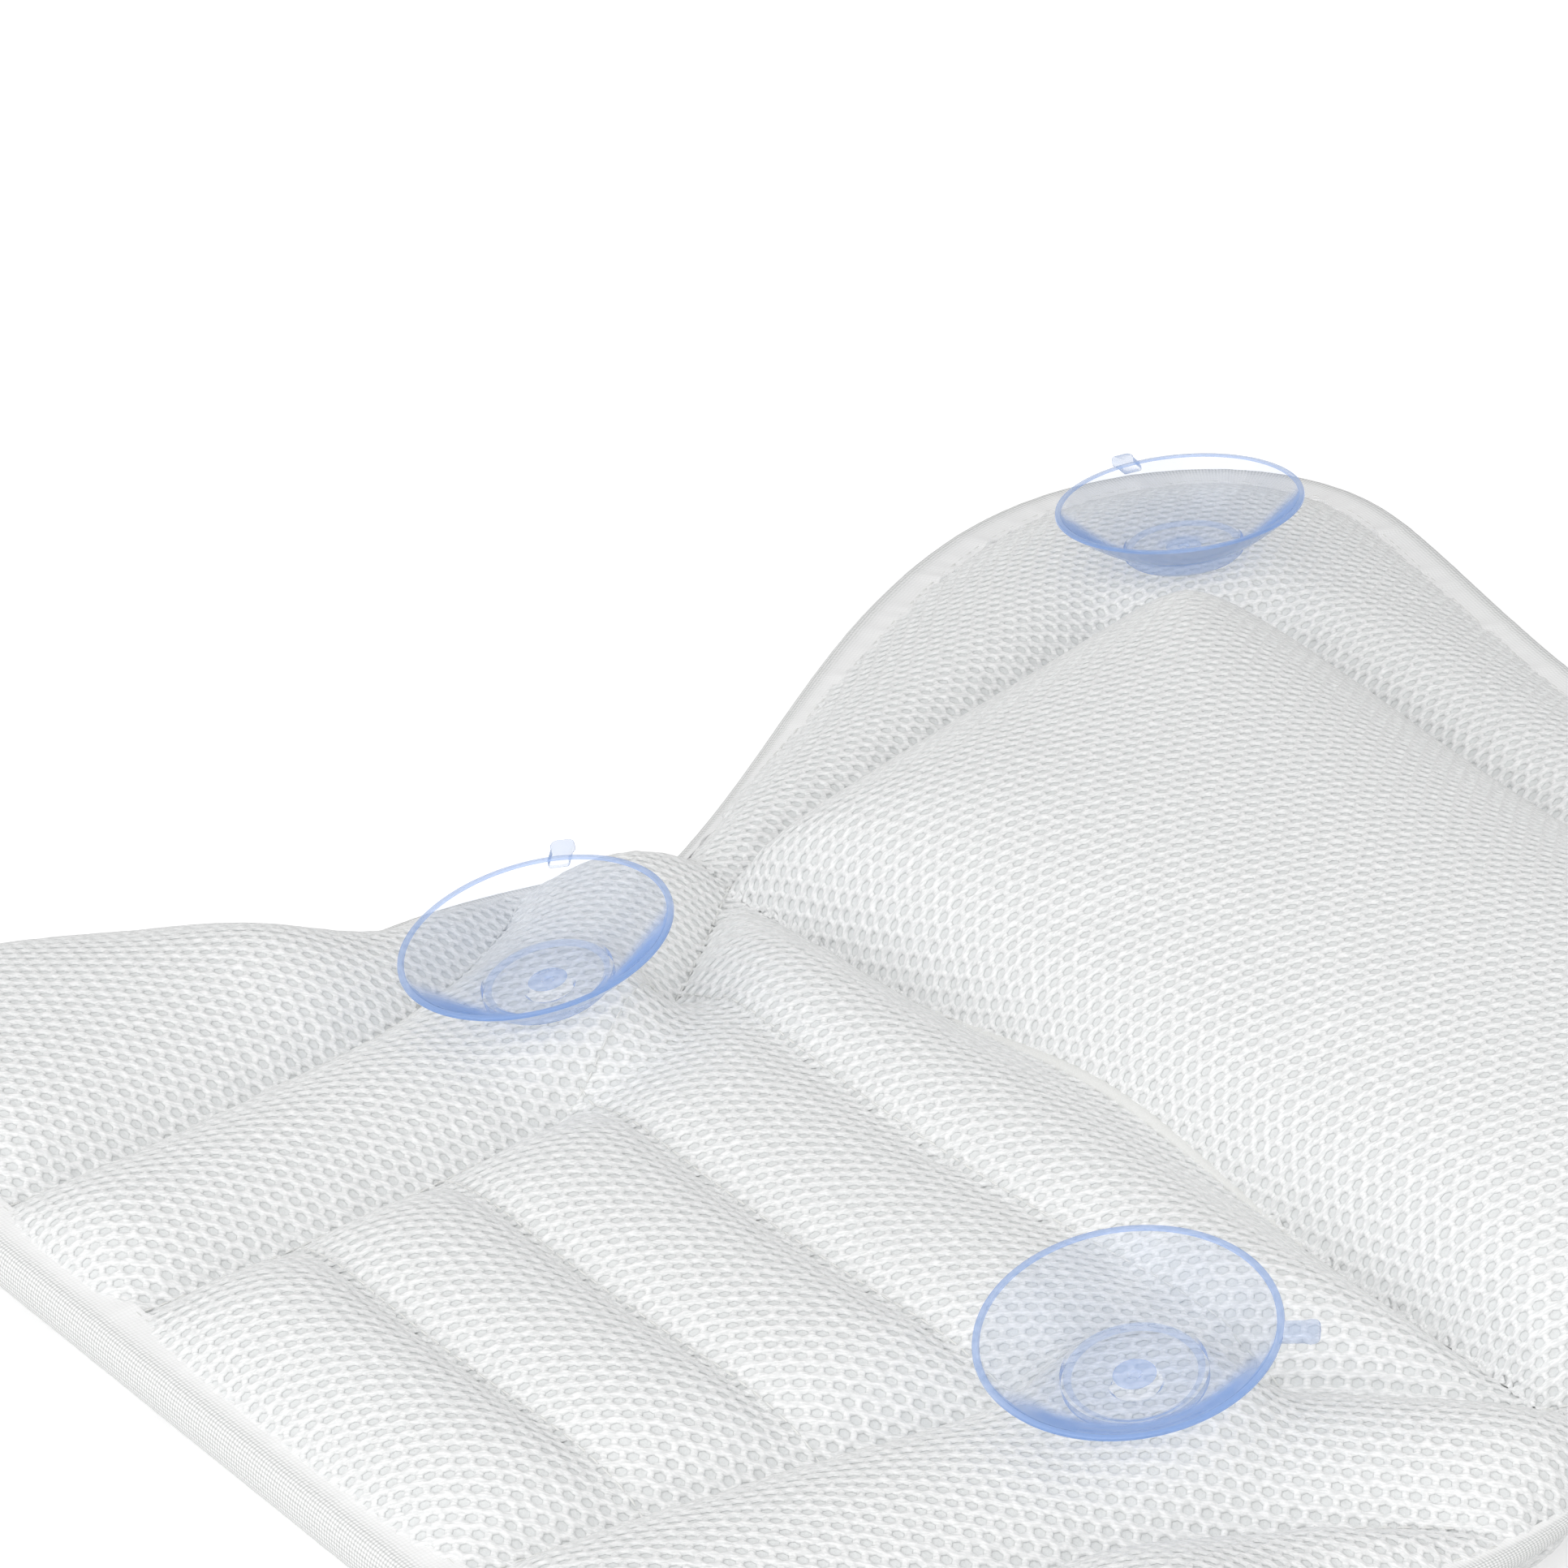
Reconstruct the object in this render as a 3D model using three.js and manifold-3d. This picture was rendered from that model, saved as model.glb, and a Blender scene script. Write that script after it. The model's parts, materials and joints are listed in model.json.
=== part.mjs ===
// Bath pillow: two quilted panels of white spacer mesh joined at a fold, with clear suction cups on the back.
// Millimetres. The pillow lies on its front. +Z points out of its back, +Y from the fold to the head end.
// Shapes are laid out from the fold line, and the whole is then centred over its bounding box.
import * as THREE from 'three';
import { mergeVertices } from 'three/addons/utils/BufferGeometryUtils.js';
import Module from 'manifold-3d';

const wasm = await Module();
wasm.setup();

// Plan of the head panel, right half, measured from the fold line and the centre line
const waistHalf = 127;
const lobeHalf = 209;
const lobeRise = 152;
const headLength = 199;
const lobePeak = 168;
const topDip = 26;
const headSideHandles = [[32, 46], [0, -48]];
const headCornerHandles = [[0, 26], [24, 0]];
const headTopHandles = [[-34, 0], [70, 0]];

// Plan of the shoulder panel, right half
const shoulderHalf = 172;
const flareLength = 138;
const shoulderLength = 172;
const bottomFlat = 140;
const shoulderSideHandles = [[3, -44], [0, 38]];
const shoulderCornerHandles = [[0, -22], [20, 0]];

// Quilting seams
const padHalf = 110;
const padShoulderHalf = 146;
const padShoulderRise = 122;
const padCornerHalf = 128;
const padCornerRise = 140;
const padLength = 129;
const padCornerHandles = [[3, 13], [15, 1]];
const padTopHandles = [[-35, -1], [45, 0]];
const innerSeamKnee = new THREE.Vector2(58, -75);
const innerSeamFoot = 48;
const innerSeamHandles = [[[-18, -20], [5, 26]], [[-4, -22], [0, 32]]];
const outerSeamStart = 31;
const outerSeamKnee = new THREE.Vector2(101, -86);
const outerSeamFoot = 90;
const outerSeamHandles = [[[-17, -15], [5, 21]], [[-5, -26], [0, 27]]];
const channelGrooves = [31, 66, 100, 131];

// Crowns above the seams on the back, and how far from a seam each one takes to rise
const padCrown = 32;
const padRise = 60;
const borderCrown = 12;
const borderSeamRise = 20;
const borderEdgeRise = 36;
const channelCrown = 13;
const channelRise = 18;
const channelSideRise = 26;
const firstChannelSwell = 0.45;
const grooveShare = 0.45;
const bandCrown = 14;
const bandRise = 24;
const wingCrown = 14;
const wingRise = 30;
const foldRise = 24;
const foldFlat = 3;
const frontCrown = 19;
const crownFullness = 2.2;
const seamSoftness = 0.75;

// Cloth, tape and filling
const restHeight = 20;
const clothThickness = 2.6;
const seamGap = 0.4;
const fillingGap = 0.35;
const fillingInset = 5;
const tapeWidth = 10;
const tapeThickness = 1;
const fit = 0.3;
const foldCordRadius = 1.5;

// Suction cup, measured from the underside of its base
const cupRimRadius = 25;
const cupHeight = 11;
const cupLip = 1.2;
const cupRimThickness = 0.8;
const cupWall = 1.3;
const cupWallBends = [[0.45, 0.3], [0.8, 0.7]];
const cupBaseRadius = 11.8;
const cupBaseHeight = 2.2;
const cupFloorRadius = 10.6;
const cupFloorHeight = 1.7;
const studRadius = 4;
const studHeadRadius = 7.5;
const studHeadHeight = 3.6;
const studHeadChamfer = 1.5;
const washerRadius = 10;
const washerThickness = 1.2;
const tabWidth = 4.5;
const tabReach = 5.5;
const tabThickness = 1.8;
const seatRadius = 12;
const seatFade = 14;
const seatClearance = 1;

// Places of the cups on the right half: in from the lobe's side or the waist, down from the lobe or the fold
const headCupInset = 55;
const headCupDrop = 9;
const waistCupInset = 47;
const waistCupDrop = 60;
const headCupPlace = { x: lobeHalf - headCupInset, y: lobeRise - headCupDrop };
const waistCupPlace = { x: waistHalf - waistCupInset, y: -waistCupDrop };
const headCup = { name: 'head_cup', panel: 'head', zone: 'border', ...headCupPlace };
const waistCup = { name: 'waist_cup', panel: 'shoulder', zone: 'band', ...waistCupPlace };

// How far each cup leans and which way its pull tab points, in degrees
const cupPlaces = [
  { ...headCup, leanOut: 5.6, leanFoot: 3.9, tabTurn: 16 },
  { ...waistCup, leanOut: 3.5, leanFoot: 13.2, tabTurn: 45 },
];

// Facets: counts round a turned piece, and where the rows and columns of the cloths lie, as shares of a zone
const cupSides = 20;
const washerSides = 12;
const roomSides = 8;
const cordSides = 8;
const tabArcSides = 5;
const curveSamples = 24;
const sideStations = [0, 0.05, 0.15, 0.32, 0.54, 0.78, 1];
const cornerStations = [0.25, 0.5, 0.75, 1];
const topStations = [0.2, 0.4, 0.6, 0.8, 1];
const borderColumns = [0, 0.18, 0.55, 1];
const channelRows = [0.2, 0.8, 1];
const channelColumns = [0, 0.6, 0.9, 1];
const bandColumns = [0, 0.24, 0.76, 1];
const wingColumns = [0, 0.24, 0.62, 1];
const fillingColumns = [0, 0.3, 0.7, 1];

const seamHalf = seamGap / 2 + clothThickness;
const foldHalf = foldCordRadius + fit;
const flatMargin = tapeWidth + fit;
const degree = Math.PI / 180;

const finishes = {
  mesh: { color: 0xeef0ef, roughness: 0.75, metalness: 0 },
  tape: { color: 0xf1f0ec, roughness: 0.85, metalness: 0 },
  fibre: { color: 0xf6f6f4, roughness: 0.95, metalness: 0 },
  vinyl: { color: 0xbcd0f2, roughness: 0.1, metalness: 0, transparent: true, opacity: 0.45 },
  washer: { color: 0xdfe8f5, roughness: 0.3, metalness: 0 },
};

const point = (x, y) => new THREE.Vector2(x, y);

// A curve between two points, with its two handles measured from those points
function curve(start, end, [startHandle, endHandle]) {
  const leave = start.clone().add(point(...startHandle));
  const arrive = end.clone().add(point(...endHandle));
  return new THREE.CubicBezierCurve(start, leave, arrive, end);
}

// Outline curves
const waist = point(waistHalf, 0);
const lobeSide = point(lobeHalf, lobeRise);
const lobeTop = point(lobePeak, headLength);
const headMiddle = point(0, headLength - topDip);
const flareEnd = point(shoulderHalf, -flareLength);
const bottomEnd = point(bottomFlat, -shoulderLength);
const headSide = curve(waist, lobeSide, headSideHandles);
const headCorner = curve(lobeSide, lobeTop, headCornerHandles);
const headTop = curve(lobeTop, headMiddle, headTopHandles);
const shoulderSide = curve(waist, flareEnd, shoulderSideHandles);
const shoulderCorner = curve(flareEnd, bottomEnd, shoulderCornerHandles);
const shoulderBottom = new THREE.LineCurve(bottomEnd, point(0, -shoulderLength));

// Seam curves
const padFoot = point(padHalf, 0);
const padShoulder = point(padShoulderHalf, padShoulderRise);
const padPeak = point(padCornerHalf, padCornerRise);
const padSide = new THREE.LineCurve(padFoot, padShoulder);
const padCorner = curve(padShoulder, padPeak, padCornerHandles);
const padTop = curve(padPeak, point(0, padLength), padTopHandles);
const innerSeam = seamCurves(padFoot, innerSeamKnee, innerSeamFoot, innerSeamHandles);
const outerSeamTop = pointAtDrop([shoulderSide], outerSeamStart);
const outerSeam = seamCurves(outerSeamTop, outerSeamKnee, outerSeamFoot, outerSeamHandles);

// A seam of the shoulder panel: from its top in to a knee, then down to the foot end
function seamCurves(top, knee, footHalf, [upperHandles, lowerHandles]) {
  return [curve(top, knee, upperHandles), curve(knee, point(footHalf, -shoulderLength), lowerHandles)];
}

// The point of a falling chain of curves that lies a given drop below the fold line
function pointAtDrop(chain, drop) {
  const part = chain.find((c) => c.getPoint(1).y <= -drop) ?? chain.at(-1);
  let low = 0;
  let high = 1;
  for (let i = 0; i < 40; i += 1) {
    const middle = (low + high) / 2;
    if (part.getPoint(middle).y > -drop) low = middle;
    else high = middle;
  }
  return point(part.getPoint(high).x, -drop);
}

function polyline(chain) {
  return chain.flatMap((part) => part.getPoints(curveSamples));
}

const headOutline = polyline([headSide, headCorner, headTop]);
const shoulderOutline = polyline([shoulderSide, shoulderCorner, shoulderBottom]);
const padSeamLine = polyline([padSide, padCorner, padTop]);
const innerSeamLine = polyline(innerSeam);
const outerSeamLine = polyline(outerSeam);

function distanceTo(line, x, y) {
  let best = Infinity;
  for (let i = 1; i < line.length; i += 1) {
    const a = line[i - 1];
    const dx = line[i].x - a.x;
    const dy = line[i].y - a.y;
    const along = ((x - a.x) * dx + (y - a.y) * dy) / (dx * dx + dy * dy + 1e-12);
    const t = Math.min(Math.max(along, 0), 1);
    best = Math.min(best, Math.hypot(x - a.x - t * dx, y - a.y - t * dy));
  }
  return best;
}

// A stuffed cloth's rise beside a seam: steep at the seam, level at the given width
function rise(distance, width) {
  const share = Math.min(Math.max(distance / width, 0), 1);
  return (1 - (1 - share) ** crownFullness) ** seamSoftness;
}

const edgeRise = (outline, x, y, width) => rise(distanceTo(outline, x, y) - flatMargin, width);
const riseFromFold = (y, width) => rise(Math.abs(y) - foldFlat, width);

// Share of a zone's full crown at a place on the right half
const zones = {
  pad: (x, y) => riseFromFold(y, padRise) * rise(distanceTo(padSeamLine, x, y), padRise),
  border: (x, y) => riseFromFold(y, foldRise) * rise(distanceTo(padSeamLine, x, y), borderSeamRise)
    * edgeRise(headOutline, x, y, borderEdgeRise),
  channels: (x, y) => {
    const dips = channelGrooves.map((drop) => rise(Math.abs(y + drop), channelRise));
    const groove = grooveShare + (1 - grooveShare) * Math.min(...dips);
    return groove * riseFromFold(y, channelRise) * rise(distanceTo(innerSeamLine, x, y), channelSideRise)
      * edgeRise(shoulderOutline, x, y, channelRise);
  },
  band: (x, y) => riseFromFold(y, foldRise) * rise(distanceTo(innerSeamLine, x, y), bandRise)
    * rise(distanceTo(outerSeamLine, x, y), bandRise) * edgeRise(shoulderOutline, x, y, bandRise),
  wing: (x, y) => rise(distanceTo(outerSeamLine, x, y), wingRise)
    * edgeRise(shoulderOutline, x, y, wingRise),
};
const crowns = {
  pad: padCrown,
  border: borderCrown,
  channels: channelCrown,
  band: bandCrown,
  wing: wingCrown,
};

// Swell of the back above the seams: the channel beside the fold is stuffed fuller than the rest
function quiltSwell(zone, x, y) {
  const firstShare = zone === 'channels' ? Math.max(0, 1 + y / channelGrooves[0]) : 0;
  return crowns[zone] * zones[zone](x, y) * (1 + firstChannelSwell * Math.sin(Math.PI * firstShare));
}

const headZones = ['pad', 'border'];

// The axis of a cup on the right half, out of the pillow's back
function cupAxis(place) {
  const out = Math.tan(place.leanOut * degree);
  const foot = Math.tan(place.leanFoot * degree);
  return new THREE.Vector3(out, -foot, 1).normalize();
}

for (const place of cupPlaces) {
  place.axis = cupAxis(place);
  place.swell = quiltSwell(place.zone, place.x, place.y);
}

// The back's swell with the cloth pressed flat under each cup
function backSwell(zone, x, y) {
  let swell = quiltSwell(zone, x, y);
  for (const place of cupPlaces) {
    const dx = x - place.x;
    const dy = y - place.y;
    const fade = THREE.MathUtils.smoothstep(Math.hypot(dx, dy), seatRadius, seatRadius + seatFade);
    const plane = place.swell - (place.axis.x * dx + place.axis.y * dy) / place.axis.z;
    if (fade < 1 && swell > 0) swell = THREE.MathUtils.lerp(plane, swell, fade);
  }
  return Math.max(swell, 0);
}

// The front is stuffed alike all over and pressed flat where the pillow rests
function frontSwell(zone, x, y) {
  return Math.min(frontCrown * zones[zone](x, y), restHeight - seamHalf);
}

// How far along a row, from 0 to 1, the cloth lies clear of the edge that the tape holds flat
function clearShare(start, end, outline) {
  let low = 0;
  let high = 1;
  for (let i = 0; i < 40; i += 1) {
    const middle = (low + high) / 2;
    const p = start.clone().lerp(end, middle);
    if (distanceTo(outline, p.x, p.y) > flatMargin) low = middle;
    else high = middle;
  }
  return high;
}

// A patch of plan points between two curves, as rows of columns and the row's end, on the right half
function patch(zone, inner, outer, shares, outline) {
  const rows = inner.map((start, i) => {
    const clear = outline ? clearShare(start, outer[i], outline) : 1;
    const columns = shares.map((share) => start.clone().lerp(outer[i], share * clear));
    return [...columns, outer[i]];
  });
  return { zone, rows };
}

function pointsOn(part, stations) {
  return stations.map((t) => part.getPoint(t));
}

function headPatches() {
  const inner = [...pointsOn(padSide, sideStations), ...pointsOn(padCorner, cornerStations),
    ...pointsOn(padTop, topStations)];
  const outer = [...pointsOn(headSide, sideStations), ...pointsOn(headCorner, cornerStations),
    ...pointsOn(headTop, topStations)];
  const border = patch('border', inner, outer, borderColumns, headOutline);
  const upper = inner.slice(sideStations.length - 1).reverse();
  const lower = upper.map((p, i) => point((padHalf * i) / (upper.length - 1), 0));
  const padRows = sideStations.map((t) => lower.map((p, i) => p.clone().lerp(upper[i], t)));
  return { border, pad: { zone: 'pad', rows: padRows } };
}

// Rows of the shoulder panel lie square to the centre line, at these drops below the fold line
const channelStops = [0, ...channelGrooves, shoulderLength - flatMargin];

function shoulderDrops() {
  const drops = [outerSeamStart, shoulderLength, 0];
  for (let i = 1; i < channelStops.length; i += 1) {
    const [top, bottom] = [channelStops[i - 1], channelStops[i]];
    for (const share of channelRows) drops.push(top + share * (bottom - top));
  }
  return [...new Set(drops)].sort((a, b) => a - b);
}

function shoulderPatches() {
  const drops = shoulderDrops();
  const wingDrops = drops.filter((drop) => drop >= outerSeamStart);
  const edge = [shoulderSide, shoulderCorner];
  const inner = drops.map((drop) => pointAtDrop(innerSeam, drop));
  const centre = drops.map((drop) => point(0, -drop));
  const seam = (drop) => (drop > outerSeamStart ? pointAtDrop(outerSeam, drop) : pointAtDrop(edge, drop));
  const wingEdge = wingDrops.map((drop) => pointAtDrop(edge, drop));
  return {
    channels: patch('channels', centre, inner, channelColumns),
    band: patch('band', inner, drops.map(seam), bandColumns, shoulderOutline),
    wing: patch('wing', wingDrops.map(seam), wingEdge, wingColumns, shoulderOutline),
  };
}

// Plan triangles of some patches and, where asked, of their mirror images, welded at shared points
function planMesh(patches, sides) {
  const vertices = [];
  const triangles = [];
  const index = new Map();
  const vertex = (zone, p, side) => {
    const y = headZones.includes(zone) ? Math.max(p.y, foldHalf) : Math.min(p.y, -foldHalf);
    const key = `${(side * p.x).toFixed(3)},${y.toFixed(3)}`;
    if (!index.has(key)) {
      index.set(key, vertices.length);
      vertices.push({ zone, x: side * p.x, y });
    }
    return index.get(key);
  };
  const face = (a, b, c) => {
    const [p, q, r] = [a, b, c].map((i) => vertices[i]);
    const area = (q.x - p.x) * (r.y - p.y) - (q.y - p.y) * (r.x - p.x);
    if (a === b || b === c || c === a) return;
    triangles.push(area > 0 ? [a, b, c] : [a, c, b]);
  };
  for (const side of sides) {
    for (const { zone, rows } of patches) {
      for (let i = 1; i < rows.length; i += 1) {
        for (let j = 1; j < rows[i].length; j += 1) {
          const corners = [rows[i - 1][j - 1], rows[i - 1][j], rows[i][j], rows[i][j - 1]];
          const [a, b, c, d] = corners.map((p) => vertex(zone, p, side));
          face(a, b, c);
          face(a, c, d);
        }
      }
    }
  }
  return { vertices, triangles };
}

// A closed body between an upper and a lower height over a plan mesh
function bodyBetween({ vertices, triangles }, upper, lower) {
  const count = vertices.length;
  const positions = [];
  for (const height of [upper, lower]) {
    for (const v of vertices) positions.push(v.x, v.y, height(v.zone, Math.abs(v.x), v.y));
  }
  const faces = [];
  const edges = new Set();
  for (const [a, b, c] of triangles) {
    faces.push(a, b, c, a + count, c + count, b + count);
    for (const [p, q] of [[a, b], [b, c], [c, a]]) edges.add(`${p},${q}`);
  }
  for (const edge of edges) {
    const [p, q] = edge.split(',').map(Number);
    if (!edges.has(`${q},${p}`)) faces.push(p, p + count, q + count, p, q + count, q);
  }
  const geometry = new THREE.BufferGeometry();
  geometry.setAttribute('position', new THREE.Float32BufferAttribute(positions, 3));
  geometry.setIndex(faces);
  return geometry;
}

const backTop = (zone, x, y) => restHeight + seamHalf + backSwell(zone, x, y);
const backInside = (zone, x, y) => backTop(zone, x, y) - clothThickness;
const frontBottom = (zone, x, y) => restHeight - seamHalf - frontSwell(zone, x, y);
const frontInside = (zone, x, y) => frontBottom(zone, x, y) + clothThickness;
const underBack = (zone, x, y) => backInside(zone, x, y) - fillingGap;
const overFront = (zone, x, y) => frontInside(zone, x, y) + fillingGap;
const skyHeight = () => restHeight + 2 * padCrown;
const groundDepth = () => -restHeight;

// Solids for joining and cutting
function solid(geometry) {
  const plain = geometry.clone();
  plain.deleteAttribute('normal');
  plain.deleteAttribute('uv');
  const merged = mergeVertices(plain, 1e-4);
  return new wasm.Manifold(new wasm.Mesh({
    numProp: 3,
    vertProperties: Float32Array.from(merged.attributes.position.array),
    triVerts: Uint32Array.from(merged.index.array),
  }));
}

function fromSolid(body) {
  const { vertProperties, triVerts } = body.getMesh();
  const geometry = new THREE.BufferGeometry();
  geometry.setAttribute('position', new THREE.BufferAttribute(vertProperties, 3));
  geometry.setIndex(new THREE.BufferAttribute(triVerts, 1));
  return geometry;
}

// The outline of both sides as one run of points, right side first, without the stretch beside the fold
function tapeRun(half) {
  const next = half.findIndex((p) => Math.abs(p.y) > foldFlat);
  const [before, after] = [half[next - 1], half[next]];
  const share = (foldFlat - Math.abs(before.y)) / (Math.abs(after.y) - Math.abs(before.y));
  const right = [before.clone().lerp(after, share), ...half.slice(next)];
  const left = right.slice(0, -1).reverse().map((p) => point(-p.x, p.y));
  return [...right, ...left];
}

// A closed section, as offsets inwards and upwards, swept along a plan run
function sweep(run, section) {
  const positions = [];
  const faces = [];
  const turnIn = run[0].y >= 0 ? 1 : -1;
  const steps = run.slice(1).map((p, i) => p.clone().sub(run[i]).normalize());
  run.forEach((p, i) => {
    const before = steps[Math.max(i - 1, 0)];
    const after = steps[Math.min(i, steps.length - 1)];
    const along = before.clone().add(after).normalize();
    const inward = point(-along.y, along.x).multiplyScalar(turnIn);
    for (const q of section) positions.push(p.x + inward.x * q.x, p.y + inward.y * q.x, q.y);
  });
  const n = section.length;
  const flip = (a, b, c) => faces.push(...(turnIn > 0 ? [a, c, b] : [a, b, c]));
  for (let i = 1; i < run.length; i += 1) {
    for (let j = 0; j < n; j += 1) {
      const k = (j + 1) % n;
      const [a, b, c, d] = [(i - 1) * n + j, (i - 1) * n + k, i * n + k, i * n + j];
      flip(a, c, b);
      flip(a, d, c);
    }
  }
  const last = (run.length - 1) * n;
  for (const [a, b, c] of THREE.ShapeUtils.triangulateShape(section, [])) {
    flip(a, b, c);
    flip(last + a, last + c, last + b);
  }
  const geometry = new THREE.BufferGeometry();
  geometry.setAttribute('position', new THREE.Float32BufferAttribute(positions, 3));
  geometry.setIndex(faces);
  return geometry;
}

// Binding tape folded over the edge of both cloths
function tapeSection() {
  const slot = seamHalf + fit;
  const outside = slot + tapeThickness;
  const profile = [
    [-fit - tapeThickness, -outside], [tapeWidth, -outside], [tapeWidth, -slot], [-fit, -slot],
    [-fit, slot], [tapeWidth, slot], [tapeWidth, outside], [-fit - tapeThickness, outside],
  ];
  return profile.map(([x, y]) => point(x, restHeight + y));
}

// The room over the flat edge of a cloth that the tape takes, on the back or on the front
function tapeRoom(run, side) {
  const near = seamHalf + fit / 2;
  const far = restHeight + padCrown;
  const levels = [near, far].map((level) => restHeight + side * level).sort((a, b) => a - b);
  const reach = tapeWidth + fit;
  const section = [point(-reach, levels[0]), point(reach, levels[0]), point(reach, levels[1]),
    point(-reach, levels[1])];
  return solid(sweep(run, section));
}

// One suction cup, turned about its axis: stud head, neck, base, flared wall with its sealing lip, floor
function cupProfile() {
  const neckEnd = -(clothThickness + washerThickness + 3 * fit);
  const headEnd = neckEnd - studHeadHeight;
  const wallFoot = point(cupBaseRadius, cupBaseHeight);
  const wallTop = point(cupRimRadius, cupHeight - cupRimThickness);
  const wall = wallTop.clone().sub(wallFoot);
  const inward = point(-wall.y, wall.x).setLength(cupWall);
  const outside = cupWallBends.map(([run, climb]) => point(wall.x * run, wall.y * climb).add(wallFoot));
  const inside = [wallFoot, ...outside].map((p) => p.clone().add(inward));
  const studHead = [point(0, headEnd), point(studHeadRadius - studHeadChamfer, headEnd),
    point(studHeadRadius, headEnd + studHeadChamfer), point(studHeadRadius, neckEnd)];
  const neck = [point(studRadius, neckEnd), point(studRadius, 0)];
  const base = [point(cupBaseRadius, 0), wallFoot];
  const rim = [wallTop, point(cupRimRadius, cupHeight), point(cupRimRadius - cupLip, cupHeight)];
  const floor = [point(cupFloorRadius, cupFloorHeight), point(0, cupFloorHeight)];
  return [...studHead, ...neck, ...base, ...outside, ...rim, ...inside.reverse(), ...floor];
}

// Pull tab on the rim, just under the sealing face
function tabGeometry() {
  const half = tabWidth / 2;
  const start = cupRimRadius - cupLip;
  const end = cupRimRadius + tabReach;
  const shape = new THREE.Shape();
  shape.moveTo(start, -half);
  shape.lineTo(end - half, -half);
  shape.absarc(end - half, 0, half, -Math.PI / 2, Math.PI / 2, false);
  shape.lineTo(start, half);
  const options = { depth: tabThickness, bevelEnabled: false, curveSegments: tabArcSides };
  const tab = new THREE.ExtrudeGeometry(shape, options);
  return tab.translate(0, 0, cupHeight - tabThickness - fit);
}

function lathe(profile, sides) {
  return new THREE.LatheGeometry(profile, sides).rotateX(Math.PI / 2);
}

function cupGeometry() {
  return fromSolid(solid(lathe(cupProfile(), cupSides)).add(solid(tabGeometry())));
}

// Retaining washer between the inside of the cloth and the stud's head
function washerGeometry() {
  const top = -clothThickness - 2 * fit;
  const inner = studRadius + fit;
  const ring = [[inner, top], [inner, top - washerThickness], [washerRadius, top - washerThickness],
    [washerRadius, top], [inner, top]];
  return lathe(ring.map(([r, z]) => point(r, z)), washerSides);
}

// Room for a turned piece, whose flat sides stay the radius away from its axis
function room(radius, low, high) {
  const corner = radius / Math.cos(Math.PI / roomSides);
  const body = new THREE.CylinderGeometry(corner, corner, high - low, roomSides);
  return body.rotateX(Math.PI / 2).translate(0, 0, (low + high) / 2);
}

// Places of all cups: on each side, standing a fit's width clear of the flattened cloth
function cupFrames() {
  const frames = [];
  for (const place of cupPlaces) {
    for (const [sideName, side] of [['left', -1], ['right', 1]]) {
      const axis = place.axis.clone().multiply(new THREE.Vector3(side, 1, 1));
      const seat = new THREE.Vector3(side * place.x, place.y, restHeight + seamHalf + place.swell);
      const origin = seat.clone().addScaledVector(axis, fit);
      const lean = new THREE.Quaternion().setFromUnitVectors(new THREE.Vector3(0, 0, 1), axis);
      const turn = (side > 0 ? place.tabTurn : 180 - place.tabTurn) * degree;
      const spin = new THREE.Quaternion().setFromAxisAngle(new THREE.Vector3(0, 0, 1), turn);
      const turned = lean.clone().multiply(spin);
      frames.push({ name: place.name, panel: place.panel, sideName, origin, lean, turned });
    }
  }
  return frames;
}

const cups = cupFrames();

function placed(geometry, frame) {
  const matrix = new THREE.Matrix4().compose(frame.origin, frame.lean, new THREE.Vector3(1, 1, 1));
  return solid(geometry.clone().applyMatrix4(matrix));
}

// The cloth of a back is joined to a flat seat under each cup, then cleared for its base and stud
function seatCups(cloth, panel) {
  const clothDepth = -fit - clothThickness;
  const roomDepth = -cupHeight - cupBaseHeight;
  const seat = room(seatRadius, clothDepth, -fit);
  const baseRoom = room(cupBaseRadius + seatClearance, -fit, cupHeight);
  const studRoom = room(studRadius + fit, roomDepth, cupHeight);
  const washerRoom = room(washerRadius + seatClearance, roomDepth, clothDepth);
  let body = cloth;
  for (const frame of cups.filter((cup) => cup.panel === panel)) {
    body = body.subtract(placed(washerRoom, frame)).add(placed(seat, frame));
    body = body.subtract(placed(baseRoom, frame)).subtract(placed(studRoom, frame));
  }
  return body;
}

// A filling gives way to the seats, washers and stud heads of the cups
function clearCups(filling) {
  const seatCorner = seatRadius / Math.cos(Math.PI / roomSides);
  const cupRoom = room(seatCorner + fit, -cupHeight - cupBaseHeight, cupHeight);
  return cups.reduce((body, frame) => body.subtract(placed(cupRoom, frame)), filling);
}

const pillow = new THREE.Group();

function addMesh(name, geometry, finish) {
  const mesh = new THREE.Mesh(geometry, new THREE.MeshStandardMaterial(finishes[finish]));
  mesh.name = name;
  pillow.add(mesh);
  return mesh;
}

// Both cloths and the binding of a panel; it gives back the room that its fillings may not enter
function addCloths(panel, patches, run) {
  const plan = planMesh(patches, [1, -1]);
  const tapeRooms = [1, -1].map((side) => tapeRoom(run, side));
  const back = solid(bodyBetween(plan, backTop, backInside)).subtract(tapeRooms[0]);
  const front = solid(bodyBetween(plan, frontInside, frontBottom)).subtract(tapeRooms[1]);
  addMesh(`${panel}_back_mesh`, fromSolid(seatCups(back, panel)), 'mesh');
  addMesh(`${panel}_front_mesh`, fromSolid(front), 'mesh');
  addMesh(`${panel}_binding`, sweep(run, tapeSection()), 'tape');
  const aboveFilling = solid(bodyBetween(plan, skyHeight, underBack));
  const belowFilling = solid(bodyBetween(plan, overFront, groundDepth));
  return [aboveFilling, belowFilling, ...tapeRooms];
}

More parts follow.
